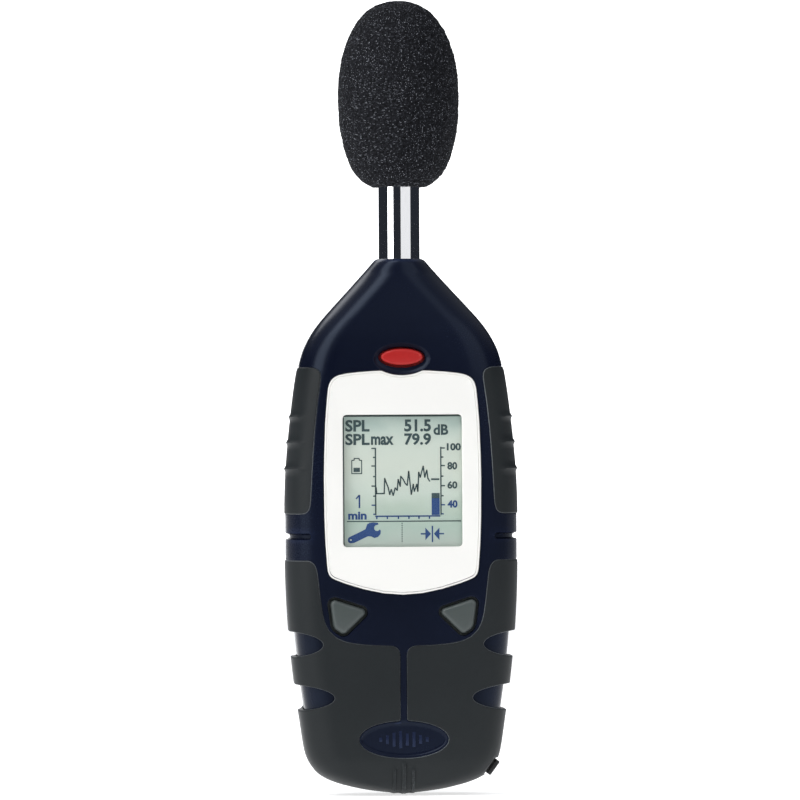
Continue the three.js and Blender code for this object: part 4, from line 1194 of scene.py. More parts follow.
cut_f = [port_curve(FRONT, -11.0, -0.35, -3.4, 3.4), port_curve(FRONT, -11.05, -0.35, -3.45, 3.45)]
cut_r = [port_curve(REAR, 0.35, 11.0, -3.4, 3.4), port_curve(REAR, 0.35, 11.05, -3.45, 3.45)]
grip("lower_grip_front_moulding", "lower_grip_front", thin_out(grow(LOWER_FRONT, -0.05), 0.07), FRONT, foot=True, port=cut_f)
grip("lower_grip_rear_moulding", "lower_grip_rear", thin_out(grow(LOWER_REAR, -0.05), 0.07), REAR, foot=True, port=cut_r)
for nm, surf, region in (("front", FRONT, UPPER_FRONT), ("rear", REAR, UPPER_REAR)):
    r = thin_out(grow(region, -0.05), 0.07)
    grip(f"upper_grip_{nm}_right_moulding", f"upper_grip_{nm}_right", ccw(r), surf, ribs=True)
    grip(f"upper_grip_{nm}_left_moulding", f"upper_grip_{nm}_left", ccw(flip(r)), surf, ribs=True)

# ------------------------------------------------------------------ bezel, window and display
bezel_outline = thin_out(grow(bez, -0.22), 0.15)
win = thin_out(resample(rounded(-WINDOW[0], WINDOW[0], WINDOW[1], WINDOW[2], 1.2, 8), 0.6), 0.1)


def bezel_height(q):
    d = signed(q, bezel_outline)
    w = -signed(q, win)
    h = 15.7 - rounding(d, 0.22)
    h -= 0.30 * np.clip(1 - np.abs(d - 0.62) / 0.20, 0, 1) ** 0.7  # a fine groove just inside the edge
    h -= 0.05 * np.clip((d - 0.8) / 0.3, 0, 1)
    h -= rounding(np.clip(w, 0, 0.35), 0.35)
    return h


bezel_curves = rings(bezel_outline, [-0.06, -0.13, -0.22, -0.41, -0.48, -0.62, -0.76, -0.84, -1.1]) + rings(win, [0.06, 0.14, 0.24, 0.35])
ob = sheet_object("display_bezel_moulding", MAT["bezel"], bezel_outline, [win], bezel_curves, 2.2, bezel_height, 13.75, FACE, sharp=40)
# painted shade in the groove just inside the bezel's edge, heaviest along the lower edge
plan = sheet.plan
line = np.clip(1 - np.abs(signed(plan, bezel_outline) - 0.62) / 0.18, 0, 1) * (0.12 + 1.6 * np.clip((71.0 - plan[:, 1]) / 3.0, 0, 1))
values = np.zeros(len(ob.data.vertices), np.float32)
values[: len(line)] = line
ob.data.attributes.new("painted_edge_light_shade", "FLOAT", "POINT").data.foreach_set("value", values)
finish_piece(ob, "case", "display_bezel")

pane = rounded(-19.5, 19.5, 75.5, 118.5, 1.0, 8)
ob = sheet_object(
    "display_window_pane", MAT["window"], pane, [], rings(pane, [-0.1, -0.25]), 4.0,
    lambda q: 14.4 - rounding(signed(q, pane), 0.25), 13.5, FACE,
)
finish_piece(ob, "case", "display_window")
lcd = rounded(-20.2, 20.2, 74.8, 119.2, 0.4, 4)
ob = sheet_object("lcd_cell", MAT["lcd"], lcd, [], rings(lcd, [-0.15, -0.8]), 3.0, lambda q: 13.2 - rounding(signed(q, lcd), 0.15), 11.2, FACE)
finish_piece(ob, "case", "lcd_panel")


def px(x, y):
    return (x - 402.15) * 0.3103, (792.9 - y) * 0.3103


LCD_Y = -13.24


def bar(x0, y0, x1, y1):
    (ax, az), (bx, bz) = px(x0, y0), px(x1, y1)
    return block(min(ax, bx), max(ax, bx), LCD_Y - 0.02, LCD_Y + 0.02, min(az, bz), max(az, bz))


def stroke(points, width):
    """A line of even width through image-frame points, as thin flat boxes with mitred joints."""
    p = np.array([px(*a) for a in points])
    d = np.diff(p, axis=0)
    d /= np.linalg.norm(d, axis=1)[:, None]
    n = np.stack([-d[:, 1], d[:, 0]], 1)
    nn = np.vstack([n[:1], n[:-1] + n[1:], n[-1:]])
    nn /= np.maximum(np.linalg.norm(nn, axis=1), 0.5)[:, None]
    l, r = p + nn * width / 2, p - nn * width / 2
    v, f = [], []
    for a, b in zip(l, r):
        for y in (LCD_Y - 0.02, LCD_Y + 0.02):
            v += [(a[0], y, a[1]), (b[0], y, b[1])]
    for i in range(len(p) - 1):
        o, q = 4 * i, 4 * (i + 1)
        f += [(o, o + 1, q + 1, q), (o + 2, q + 2, q + 3, o + 3), (o, q, q + 2, o + 2), (o + 1, o + 3, q + 3, q + 1)]
    f += [(0, 2, 3, 1), (q, q + 1, q + 3, q + 2)]
    return np.array(v), f


def letters(text, x0, x1, y0, y1, weight=0.02):
    """Plain characters fitted to a box given in the image frame."""
    cu = bpy.data.curves.new("glyphs", "FONT")
    cu.body = text
    cu.size = 1.0
    cu.offset = weight
    cu.resolution_u = 3
    tmp = bpy.data.objects.new("glyphs", cu)
    scene.collection.objects.link(tmp)
    bpy.context.view_layer.update()
    me = bpy.data.meshes.new_from_object(tmp)
    v = np.array([tuple(a.co) for a in me.vertices])
    f = [tuple(p.vertices) for p in me.polygons]
    bpy.data.objects.remove(tmp)
    bpy.data.meshes.remove(me)
    (ax, az), (bx, bz) = px(x0, y1), px(x1, y0)
    lo, hi = v.min(0), v.max(0)
    x = ax + (v[:, 0] - lo[0]) / (hi[0] - lo[0]) * (bx - ax)
    z = az + (v[:, 1] - lo[1]) / (hi[1] - lo[1]) * (bz - az)
    n = len(v)
    verts = np.vstack([np.stack([x, np.full(n, LCD_Y - 0.02), z], 1), np.stack([x, np.full(n, LCD_Y + 0.02), z], 1)])
    e = {}
    for g in f:
        for i in range(len(g)):
            e[(g[i], g[(i + 1) % len(g)])] = True
    rim = [(a, b) for a, b in e if (b, a) not in e]
    return verts, f + [tuple(i + n for i in g[::-1]) for g in f] + [(b, a, a + n, b + n) for a, b in rim]


def trace(points, width):
    """A line as short overlapping flat bars."""
    out = []
    p = [px(*a) for a in points]
    for (ax, az), (bx, bz) in zip(p, p[1:]):
        a, b = np.array([ax, az]), np.array([bx, bz])
        u = (b - a) / max(np.linalg.norm(b - a), 1e-6)
        n = np.array([-u[1], u[0]]) * width / 2
        a, b = a - u * width * 0.3, b + u * width * 0.3
        c = [a + n, b + n, b - n, a - n]
        v = np.array([(q[0], y, q[1]) for y in (LCD_Y - 0.02, LCD_Y + 0.02) for q in c])
        out.append((v, [(0, 1, 2, 3), (7, 6, 5, 4), (0, 4, 5, 1), (1, 5, 6, 2), (2, 6, 7, 3), (3, 7, 4, 0)]))
    return out


def patch(points, holes=()):
    """A filled flat shape given in the image frame."""
    o = np.array([px(*a) for a in points])
    v, f = sheet(o, [np.array([px(*a) for a in h]) for h in holes], [], 5.0, lambda q: np.full(len(q), -LCD_Y + 0.02), -LCD_Y - 0.02, FACE)
    return v / MM, f


dark, blue = [], []
dark.append(letters("SPL", 345.6, 369.8, 419.6, 431.4, 0.034))
dark.append(letters("51.5", 404.3, 431, 419.4, 431.6, 0.034))
dark.append(letters("dB", 433.4, 448.2, 424.4, 435.0, 0.034))
dark.append(letters("SPL", 345.6, 369.8, 433.4, 444.8, 0.034))
dark.append(letters("max", 371.2, 393.8, 436.0, 444.8, 0.034))
dark.append(letters("79.9", 404.3, 431, 433.2, 445.0, 0.034))
for txt, y0, y1, xx0, xx1, dst in (("100", 443.2, 450.6, 446.6, 460.6, dark), ("80", 462.0, 469.6, 447.0, 456.9, dark), ("60", 481.0, 488.6, 447.0, 456.9, dark), ("40", 500.0, 507.6, 447.0, 457.0, blue)):
    dst.append(letters(txt, xx0, xx1, y0, y1, 0.04))
dark.append(bar(374.8, 447.4, 376.2, 514.4))
for y in (448, 457, 465.5, 476, 485.5, 495.5, 504.5, 513.5):
    big = y in (448, 465.5, 485.5, 504.5)
    (dark if y < 500 else blue).append(bar(371.4 if big else 373.0, y - 0.6, 375.2, y + 0.7))
    (dark if y < 500 else blue).append(bar(440.8, y - 0.6, 444.6 if big else 443.2, y + 0.7))
dark.append(bar(439.9, 446.8, 441.2, 514.4))
blue.append(bar(375.0, 514.9, 439.8, 516.3))
for x in (376.5, 387, 398, 408.5, 418.5, 429):
    blue.append(bar(x - 0.7, 516, x + 0.7, 518.4))
dark.append(bar(430.8, 478.2, 439, 479.9))
dark.append(bar(431.2, 492.8, 439.2, 498.0))
blue.append(bar(431.2, 498.0, 439.2, 514.6))
wave = [(376, 487), (376.6, 493), (384, 493), (384.6, 478), (386, 482), (388, 487), (389.5, 494), (391, 489), (393, 495), (395, 487.5), (397, 490), (398, 479), (400, 486), (400.6, 476), (403, 479), (405, 483), (407, 485), (408.5, 471), (410, 485), (411, 494), (413, 484), (414, 491), (416.5, 484), (417.5, 491), (418.5, 472), (420, 477), (423, 466), (424.5, 477), (426.5, 470), (427.6, 478), (429.4, 481)]
dark += trace(wave, 0.40)
# battery symbol
dark += trace([(351.9, 473), (351.9, 460), (354.2, 459.6), (354.4, 458), (359.2, 458), (359.4, 459.6), (361.7, 460), (361.7, 473), (351.9, 473)], 0.30)
dark.append(bar(353.6, 467.2, 360.0, 471.4))
blue.append(bar(358.5, 494.2, 360.1, 507.4))
blue += trace([(356.2, 498.0), (358.9, 494.8)], 0.42)
blue.append(letters("min", 348.0, 366.4, 510.8, 518.8, 0.04))
dark.append(bar(346.8, 520.1, 460.2, 521.2))
for k in range(9):
    dark.append(bar(401.1, 522.2 + k * 2.2, 402.1, 523.3 + k * 2.2))
# a plain spanner, and two arrows that meet at a bar
blue.append(patch(
    [(347.4, 538.8), (348.2, 536.8), (350.5, 535.4), (358.0, 532.0), (365.2, 528.4), (366.2, 525.6), (367.2, 523.2), (369.4, 522.0), (373.0, 521.7), (377.6, 522.2), (378.2, 523.8), (375.4, 524.4),
     (373.9, 526.0), (373.8, 528.2), (375.2, 529.9), (377.3, 530.3), (379.6, 528.6), (380.5, 530.4), (380.0, 533.4), (377.6, 536.2), (374.0, 537.2), (370.8, 535.6), (367.6, 535.4), (360.0, 539.0), (353.8, 541.9), (350.2, 542.4), (348.0, 541.2)],
    [[(350.6 + 0.9 * math.cos(t), 539.0 + 0.9 * math.sin(t)) for t in np.arange(12) * math.pi / 6]]))
blue.append(bar(431.1, 525.4, 432.5, 541.6))
for sgn in (-1, 1):
    c = 431.8
    blue.append(patch([(c + sgn * 1.5, 533.3), (c + sgn * 7.0, 527.2), (c + sgn * 7.0, 532.6), (c + sgn * 11.6, 532.6), (c + sgn * 11.6, 534.0), (c + sgn * 7.0, 534.0), (c + sgn * 7.0, 539.6)]))
# painted shadow: dark strips along the top and left edges of the display, where the bezel casts its shadow
painted_shadow_bars = []
painted_shadow_bars.append(bar(341.6, 413.6, 463.0, 416.6))
painted_shadow_bars.append(bar(341.6, 413.6, 344.3, 547.0))
ob = mm_object("lcd_painted_shadow", ink("lcd_painted_shadow", srgb(74, 84, 84)), painted_shadow_bars)
finish_piece(ob, "case", None)
ob = mm_object("lcd_segments", INK, dark)
finish_piece(ob, "case", None)
ob = mm_object("lcd_segments_blue", INK_BLUE, blue)
finish_piece(ob, "case", None)

# ------------------------------------------------------------------ keys
def key_cap(name, node, body, outline, slot_name, top, radius, crown, base, centre, halfsize):
    curves = rings(outline, [-0.07 * radius / 0.5, -0.18 * radius / 0.5, -0.32 * radius / 0.5, -radius, -radius * 1.6])

    def h(q):
        d = signed(q, outline)
        r = np.sqrt(((q[:, 0] - centre[0]) / halfsize[0]) ** 2 + ((q[:, 1] - centre[1]) / halfsize[1]) ** 2)
        return top - rounding(d, radius) - crown * np.clip(r, 0, 1.4) ** 2

    v, f = sheet(outline, [], curves, 0.7, h, base, FACE)
    parts = [(v / MM, f)]
    fl = grow(outline, 1.0)
    v, f = sheet(fl, [], rings(fl, [-0.15, -0.3]), 1.5, lambda q: base + 0.02 - rounding(signed(q, fl), 0.2), base - 0.75, FACE)
    parts.append((v / MM, f))
    v, f = lathe([(0, 10.45), (1.2, 10.45), (1.5, 10.75), (1.5, base - 0.7), (0, base - 0.7)], 32, (centre[0], 0, centre[1]), "-Y")
    parts.append((v / MM, f))
    ob = mm_object(name, MAT[slot_name], parts, 45)
    return finish_piece(ob, body, node)


key_cap("start_key_cap", "start_key", "start_button", thin_out(key_oval(-0.3, 96), 0.1), "start_key", 15.6, 0.6, 0.28, 11.9, (0, 135.2), (6.45, 2.5))
sr = soft_key(-0.08)
key_cap("right_soft_key_cap", "right_soft_key", "right_key", sr, "soft_key", 16.1, 1.1, 0.30, 11.9, (18.0, 55.8), (6, 6))
key_cap("left_soft_key_cap", "left_soft_key", "left_key", ccw(flip(sr)), "soft_key", 16.1, 1.1, 0.30, 11.9, (-18.0, 55.8), (6, 6))

# badge: a plain raised pattern of bars of different heights, like a level display
bars = []
for i, hgt in enumerate((1.4, 2.8, 4.4, 5.4, 3.8, 4.8, 2.8, 1.6)):
    x = (i - 3.5) * 2.05
    bars.append(block(x - 0.5, x + 0.5, -15.10, -14.70, 17.15 - hgt / 2, 17.15 + hgt / 2, 0.12, 2))
ob = mm_object("badge_bars", MAT["casing"], bars)
finish_piece(ob, "case", None)

# ------------------------------------------------------------------ microphone
TR = 6.35
ob = lathe_object("preamp_tube_shell", MAT["tube_chrome"], [(5.6, 148.2)] + arc_points(TR - 0.25, 148.25, 0.25, -90, 0, 4) + [(TR, 148.6), (TR, 149.2), (TR, 214.6), (TR, 215.2)] + arc_points(TR - 0.2, 215.6, 0.2, 0, 90, 4) + [(5.8, 215.8), (5.6, 215.6)], n=160)
finish_piece(ob, "case", "preamp_tube")
thread = []
for k in range(5):
    thread += [(5.3, 213.7 + k * 0.45), (5.12, 213.9 + k * 0.45)]
ob = lathe_object("mic_capsule_body", MAT["steel"], [(4.3, 213.6)] + thread + [(5.3, 216.05), (6.2, 216.1), (6.35, 216.25), (6.35, 219.0), (6.22, 219.15), (6.22, 219.45), (6.35, 219.6), (6.35, 223.05), (6.2, 223.2), (5.2, 223.2), (5.2, 217.8), (4.3, 217.8)], n=120)
finish_piece(ob, "case", "mic_capsule")
# protection grid: cap with side windows and rings of holes on top
bm = bmesh.new()
gv, gf = lathe([(5.6, 223.5), (6.35, 223.5), (6.35, 224.3), (6.35, 227.7), (6.35, 228.5), (6.2, 228.85), (5.9, 229.0), (5.2, 229.0), (4.1, 229.0), (3.0, 229.0), (1.9, 229.0), (0.9, 229.0), (0, 229.0), (0, 228.3), (0.9, 228.3), (1.9, 228.3), (3.0, 228.3), (4.1, 228.3), (5.2, 228.3), (5.6, 227.9), (5.6, 227.7), (5.6, 224.3)], 96)
n = 96
drop = set()
ring_z = [223.5, 224.3, 227.7]
keep_faces = []
gv = np.asarray(gv)
for f in gf:
    c = gv[list(f)].mean(0) / MM
    ang = (math.degrees(math.atan2(c[1], c[0])) + 360) % 360
    r = math.hypot(c[0], c[1])
    side = 224.3 < c[2] < 227.7 and r > 5.4 and abs((ang % 30) - 15) > 8.5
    ring = (229.05 > c[2] > 228.2) and len(f) == 4 and ((1.9 < r < 3.0 and (ang % 45) < 22) or (4.1 < r < 5.2 and (ang % 30) < 16))
    if side or ring:
        continue
    keep_faces.append(f)
e = {}
for f in keep_faces:
    for i in range(len(f)):
        e[(f[i], f[(i + 1) % len(f)])] = 1
open_edges = [(a, b) for a, b in e if (b, a) not in e]
# bridge the two skins across each window
V = gv / MM
mate = {}
for a in set(i for ed in open_edges for i in ed):
    r, z = math.hypot(V[a, 0], V[a, 1]), V[a, 2]
    if r > 5.3 and 224.0 < z < 228.0:
        want_r, want_z = (5.6 if abs(r - 6.35) < 0.01 else 6.35), z
    else:
        want_r, want_z = r, (228.3 if z > 228.8 else 229.0)
    mate[a] = (want_r, want_z)
ang_of = np.round((np.degrees(np.arctan2(V[:, 1], V[:, 0])) + 360) % 360, 2)
key_of = {(ang_of[i], round(float(math.hypot(V[i, 0], V[i, 1])), 2), round(float(V[i, 2]), 2)): i for i in range(len(V))}
bridge = []
for a, b in open_edges:
    ma, mb = mate[a], mate[b]
    ka, kb = (ang_of[a], round(ma[0], 2), round(ma[1], 2)), (ang_of[b], round(mb[0], 2), round(mb[1], 2))
    if ka in key_of and kb in key_of and a < b:
        bridge.append((b, a, key_of[ka], key_of[kb]))
    elif ka in key_of and kb in key_of:
        bridge.append((b, a, key_of[ka], key_of[kb]))
seen, uniq = set(), []
for f in bridge:
    k = frozenset(f)
    if k not in seen and len(k) == 4:
        seen.add(k)
        uniq.append(f)
bm.free()
ob = make_object("mic_grid_cap", gv, keep_faces + uniq, MAT["steel"], 30)
fix_normals(ob)
ob.data.polygons.foreach_set("use_smooth", [True] * len(ob.data.polygons))
ob.data.set_sharp_from_angle(angle=math.radians(30))
finish_piece(ob, "case", "mic_grid")


# ------------------------------------------------------------------ foam windscreen
def foam_piece():
    prof = [
        (6.65, 188.6), (7.0, 188.0), (7.6, 187.8), (8.4, 187.95), (9.4, 188.4), (10.5, 189.1), (11.6, 189.9), (13.0, 191.3), (14.4, 193.1), (15.8, 196.2), (16.8, 199.3),
        (17.55, 202.4), (18.15, 205.5), (18.5, 208.6), (18.7, 211.7), (18.75, 214.8), (18.75, 217.9), (18.6, 221.0), (18.25, 224.1),
        (17.7, 227.2), (16.95, 230.3), (15.85, 233.4), (14.45, 236.5), (12.45, 239.6), (9.8, 242.5), (6.9, 244.3), (3.4, 245.4), (1.2, 245.7), (0.35, 245.75),
    ]
    p = resample(np.array(prof), 0.31, closed=False)
    for _ in range(6):
        p[1:-1] = 0.25 * p[:-2] + 0.5 * p[1:-1] + 0.25 * p[2:]
    n = 344
    rng = np.random.default_rng(7)
    rows = len(p)
    tang = np.gradient(p, axis=0)
    tang /= np.linalg.norm(tang, axis=1)[:, None]
    nr, nz = tang[:, 1], -tang[:, 0]
    disp = rng.normal(0, 1, (rows, n))
    soft = (disp + np.roll(disp, 1, 1) + np.roll(disp, -1, 1) + np.roll(disp, 1, 0) + np.roll(disp, -1, 0)) / 5
    lump = rng.normal(0, 1, (rows, n))
    for _ in range(30):
        lump = (lump + np.roll(lump, 1, 1) + np.roll(lump, -1, 1) + np.roll(lump, 1, 0) + np.roll(lump, -1, 0)) / 5
    lump /= lump.std()
    pores = (rng.random((rows, n)) < 0.045) * -0.32
    pores = (pores * 2 + np.roll(pores, 1, 1) + np.roll(pores, 1, 0)) / 2
    fade = np.clip(p[:, 0] / 3.0, 0.0, 1)[:, None]
    d = (0.17 * soft + 0.045 * np.clip(lump, -2, 2) + pores) * fade - 0.06
    d = np.minimum(d, 0.12)
    th = (np.arange(n)[None, :] + 0.5 * (np.arange(rows)[:, None] % 2)) * 2 * math.pi / n
    R = p[:, 0][:, None] + nr[:, None] * d
    Z = p[:, 1][:, None] + nz[:, None] * d
    verts = np.stack([R * np.cos(th), R * np.sin(th), Z], 2).reshape(-1, 3)
    faces = []
    for i in range(rows - 1):
        for j in range(n):
            k = (j + 1) % n
            faces.append((i * n + j, i * n + k, (i + 1) * n + k, (i + 1) * n + j))
    top = len(verts)
    verts = np.vstack([verts, [[0, 0, 245.72]]])
    for j in range(n):
        faces.append(((rows - 1) * n + j, (rows - 1) * n + (j + 1) % n, top))
    # the bore: coarser rings joined to the first row
    base = len(verts)
    levels = [189.2, 191, 196, 202, 208, 214, 220, 225, 228.6, 229.45]
    extra = []
    for z in levels:
        extra.append(np.stack([6.65 * np.cos(th[0]), 6.65 * np.sin(th[0]), np.full(n, z)], 1))
    extra = np.vstack(extra)
    verts = np.vstack([verts, extra, [[0, 0, 229.5]]])
    prev = list(range(0, n))
    for li in range(len(levels)):
        cur = list(range(base + li * n, base + (li + 1) * n))
        for j in range(n):
            k = (j + 1) % n
            faces.append((prev[k], prev[j], cur[j], cur[k]))
        prev = cur
    end = len(verts) - 1
    for j in range(n):
        faces.append((prev[(j + 1) % n], prev[j], end))
    ob = make_object("foam_windscreen", verts * MM, faces, MAT["foam"], 180)
    fix_normals(ob, 0)
    ob.data.polygons.foreach_set("use_smooth", [True] * len(ob.data.polygons))
    return ob


foam = foam_piece()
finish_piece(foam, "windscreen_body", "windscreen")

# ------------------------------------------------------------------ battery cover, bay and cells
cover_out = thin_out(resample(COVER, 0.9), 0.12)
RIDGES = [79.9 - i * 1.7 for i in range(5)]
cover_curves = rings(cover_out, [-0.07, -0.16, -0.28, -0.4])
for i, rz in enumerate(RIDGES):
    w = 6.0 - i * 0.7
    for dz in (-0.4, -0.18, 0, 0.18, 0.4):
        cover_curves.append((np.stack([np.linspace(-w, w, 30), np.full(30, rz + dz)], 1), False))


def cover_height(q):
    d = signed(q, cover_out)
    h = 15.2 - rounding(d, 0.4)
    for i, rz in enumerate(RIDGES):
        w = 6.0 - i * 0.7
        across = np.clip(1 - np.abs(q[:, 1] - rz) / 0.4, 0, 1)
        along = np.clip((w - np.abs(q[:, 0])) / 0.5, 0, 1)
        h -= 0.45 * across * along
    return h


v, f = sheet(cover_out, [], cover_curves, 2.4, cover_height, 13.2, BACK)
parts = [(v / MM, f), block(-14.2, -8.3, 13.2, 13.98, 12.9, 16.2, 0.25), block(8.3, 14.2, 13.2, 13.98, 12.9, 16.2, 0.25), block(-19, 19, 12.95, 13.3, 47, 48.2, 0.1), block(-6.2, 6.2, 13.0, 14.0, 81.2, 81.95, 0.15)]
ob = mm_object("battery_cover_moulding", MAT["casing"], parts, 40)
finish_piece(ob, "battery_cover_body", "battery_cover")

# bay: floor, four walls and two ribs between the cells
x0, x1, z0, z1, yf, yr = -22.7, 22.7, 20.5, 77.5, -1.8, 12.35
bay = [
    block(x0 - 1.2, x1 + 1.2, yf - 1.3, yf, z0 - 1.2, z1 + 1.2), block(x0 - 1.2, x0, yf, yr, z0 - 1.2, z1 + 1.2), block(x1, x1 + 1.2, yf, yr, z0 - 1.2, z1 + 1.2),
    block(x0, x1, yf, yr, z0 - 1.2, z0), block(x0, x1, yf, yr, z1, z1 + 1.2), block(6.7, 8.2, yf, 0.95, 21.5, 76.5, 0.3), block(-8.2, -6.7, yf, 0.95, 21.5, 76.5, 0.3),
]
ob = mm_object("battery_bay", MAT["casing"], bay)
finish_piece(ob, "case", "rear_housing")
# wells around the screws and the tripod bush
wells = []
for x, z in SCREWS:
    v, f = lathe([(2.5, 8.0), (1.4, 8.0), (1.4, 0.4), (3.2, 0.4), (3.2, 12.2), (2.5, 12.2)], 36, (x, 0, z), "Y")
    wells.append((v / MM, f))
v, f = lathe([(4.85, 5.8), (0.0, 5.8), (0.0, 4.4), (6.6, 4.4), (6.6, 12.3), (4.85, 12.3)], 56, (0, 0, 98), "Y")
wells.append((v / MM, f))
ob = mm_object("rear_bosses", MAT["casing"], wells)
finish_piece(ob, "case", "rear_housing")

CELL = [(0, 0.05), (4.4, 0.05), (4.9, 0.0), (6.3, 0.0), (6.8, 0.12), (7.05, 0.5), (7.1, 1.0), (7.1, 48.0), (7.0, 48.6), (6.6, 48.95), (6.0, 49.0), (5.6, 48.85), (3.2, 48.85), (2.9, 49.0), (2.7, 49.4), (2.65, 49.9), (2.4, 50.15), (2.0, 50.2), (0, 50.2)]
for i, (x, up) in enumerate(((-14.9, True), (0.0, False), (14.9, True))):
    v, f = lathe(CELL, 72)
    v = v / MM
    if not up:
        v = np.stack([v[:, 0], -v[:, 1], -v[:, 2]], 1) + (0, 0, 72.2 + 0.0)
        v = v + (x, 5.6, 0)
    else:
        v = v + (x, 5.6, 25.8)
    ob = mm_object(f"cell_{i + 1}", MAT["cell"], [(v, f)], 30)
    if not up:
        ob.data.materials[0] = MAT["cell"].copy()
        nt = ob.data.materials[0].node_tree
        r = next(n for n in nt.nodes if n.type == "VALTORGB" and len(n.color_ramp.elements) == 5)
        for e_, (p_, c_) in zip(r.color_ramp.elements, [(0.0, srgb(190, 190, 190)), (0.02, srgb(186, 130, 78)), (0.33, srgb(176, 120, 70)), (0.34, srgb(46, 50, 56)), (1.0, srgb(40, 44, 50))]):
            e_.position, e_.color = p_, (*c_, 1)
    finish_piece(ob, "case", f"battery_cell_{i + 1}")


def spring(cx, z0, direction, length, wire=0.42, turns=4):
    pts = []
    for i in range(turns * 24 + 1):
        t = i / (turns * 24)
        r = 4.6 - 1.9 * t
        a = 2 * math.pi * turns * t
        pts.append((cx + r * math.cos(a), 5.6 + r * math.sin(a), z0 + direction * length * t))
    pts = np.array(pts)
    tan = np.gradient(pts, axis=0)
    tan /= np.linalg.norm(tan, axis=1)[:, None]
    up = np.array([0, 0, 1.0])
    v, f, m = [], [], 10
    for p, t in zip(pts, tan):
        a = np.cross(t, up)
        a /= np.linalg.norm(a)
        b = np.cross(a, t)
        for k in range(m):
            th = 2 * math.pi * k / m
            v.append(p + wire * (math.cos(th) * a + math.sin(th) * b))
    for i in range(len(pts) - 1):
        for k in range(m):
            j = (k + 1) % m
            f.append((i * m + k, i * m + j, (i + 1) * m + j, (i + 1) * m + k))
    f.append(tuple(range(m))[::-1])
    f.append(tuple(range((len(pts) - 1) * m, len(pts) * m)))
    return np.array(v), f


def contact(name, node, x0, x1, z0, z1, coil=None, bump_at=None):
    parts = [block(x0, x1, 0.2, 11.0, z0, z1, 0.18)]
    if coil:
        parts.append(spring(*coil))
    if bump_at:
        v, f = lathe([(0, 0.0), (3.2, 0.0), (3.0, 0.25), (0.0, 0.45)], 32)
        v = v / MM
        v = np.stack([v[:, 0], v[:, 1], v[:, 2] * bump_at[2]], 1) + (bump_at[0], 5.6, bump_at[1])
        parts.append((v, f))
    ob = mm_object(name, MAT["steel"], parts, 40)
    return finish_piece(ob, "case", node)


contact("contact_spring_terminal", "battery_spring_terminal", -20.3, -9.5, 20.6, 21.1, coil=(-14.9, 21.4, 1, 3.7))
contact("contact_bridge_top", "battery_bridge_top", -20.3, 5.4, 76.9, 77.4, coil=(0, 76.6, -1, 3.7))
contact("contact_bridge_bottom", "battery_bridge_bottom", -5.4, 20.3, 20.6, 21.1, coil=(14.9, 21.4, 1, 3.7))
contact("contact_plate_terminal", "battery_plate_terminal", 9.5, 20.3, 76.9, 77.4)

# ------------------------------------------------------------------ bush and screws
bush = [(2.6, 6.3)]
for k in range(11):
    bush += [(2.6, 6.5 + k * 0.72), (2.95, 6.86 + k * 0.72)]
bush += [(2.6, 14.6), (3.1, 15.05), (4.4, 15.1), (4.6, 14.95)]
for k in range(8):
    bush += [(4.6, 14.2 - k * 0.9), (4.45, 13.9 - k * 0.9), (4.45, 13.6 - k * 0.9), (4.6, 13.4 - k * 0.9)]
bush += [(4.6, 6.3)]
ob = lathe_object("tripod_bush_turned", MAT["brass"], bush, n=72, at=(0, 0, 98), axis="Y", sharp=30)
finish_piece(ob, "case", "tripod_bush")


def cross_screw(name, node, x, y, z, head_r, head_h, shaft_r, length):
    prof = [(0, -length), (shaft_r * 0.3, -length)]
    pitch = 0.9 if shaft_r > 1 else 0.7
    k = 0
    while -length + 0.8 + k * pitch < -0.8:
        prof += [(shaft_r * 0.8, -length + 0.6 + k * pitch), (shaft_r, -length + 0.6 + (k + 0.5) * pitch)]
        k += 1
    prof += [(shaft_r * 0.8, -0.3), (shaft_r * 0.8, 0), (head_r - 0.1, 0), (head_r, 0.12), (head_r, head_h * 0.45), (head_r * 0.93, head_h * 0.75), (head_r * 0.72, head_h * 0.95), (head_r * 0.4, head_h), (0, head_h)]
    v, f = lathe(prof, 48, (x, y, z), "Y")
    ob = make_object(name, v, f, MAT["steel"], 30)
    fix_normals(ob)
    tv, tf = join_pieces("t", [tuple(map(lambda a: a.tolist() if hasattr(a, "tolist") else a, block(x - head_r * 0.62, x + head_r * 0.62, y + head_h - 0.75, y + head_h + 1, z - 0.24, z + 0.24)))])
    tool = make_object("tool_a", np.array(tv) * MM, tf, MAT["steel"], smooth=False)
    tv2, tf2 = block(x - 0.24, x + 0.24, y + head_h - 0.78, y + head_h + 1, z - head_r * 0.62, z + head_r * 0.62)
    tool2 = make_object("tool_b", tv2 * MM, tf2, MAT["steel"], smooth=False)
    for t in (tool, tool2):
        fix_normals(t, 0)
        m = ob.modifiers.new("recess", "BOOLEAN")
        m.operation, m.solver, m.object = "DIFFERENCE", "EXACT", t
    bpy.context.view_layer.update()
    dg = bpy.context.evaluated_depsgraph_get()
    me = bpy.data.meshes.new_from_object(ob.evaluated_get(dg))
    ob.modifiers.clear()
    ob.data = me
    for t in (tool, tool2):
        bpy.data.objects.remove(t)
    me.polygons.foreach_set("use_smooth", [True] * len(me.polygons))
    me.set_sharp_from_angle(angle=math.radians(30))
    return finish_piece(ob, "case", node)


for i, (x, z) in enumerate(SCREWS):
    cross_screw(f"case_screw_cut_{i + 1}", f"case_screw_{i + 1}", x, 8.1, z, 2.2, 1.65, 1.08, 13.9)

# ------------------------------------------------------------------ port flap and its strap
class PortPlane:
    def point(self, q, off):
        q = np.asarray(q, float)
        local = np.stack([np.asarray(off), q[:, 0], q[:, 1]], 1)
        return local @ PORT[:3, :3].T + PORT[:3, 3]


flap_out = thin_out(resample(rounded(-7.4, 6.5, -2.6, 2.6, 0.8, 8), 0.4), 0.08)


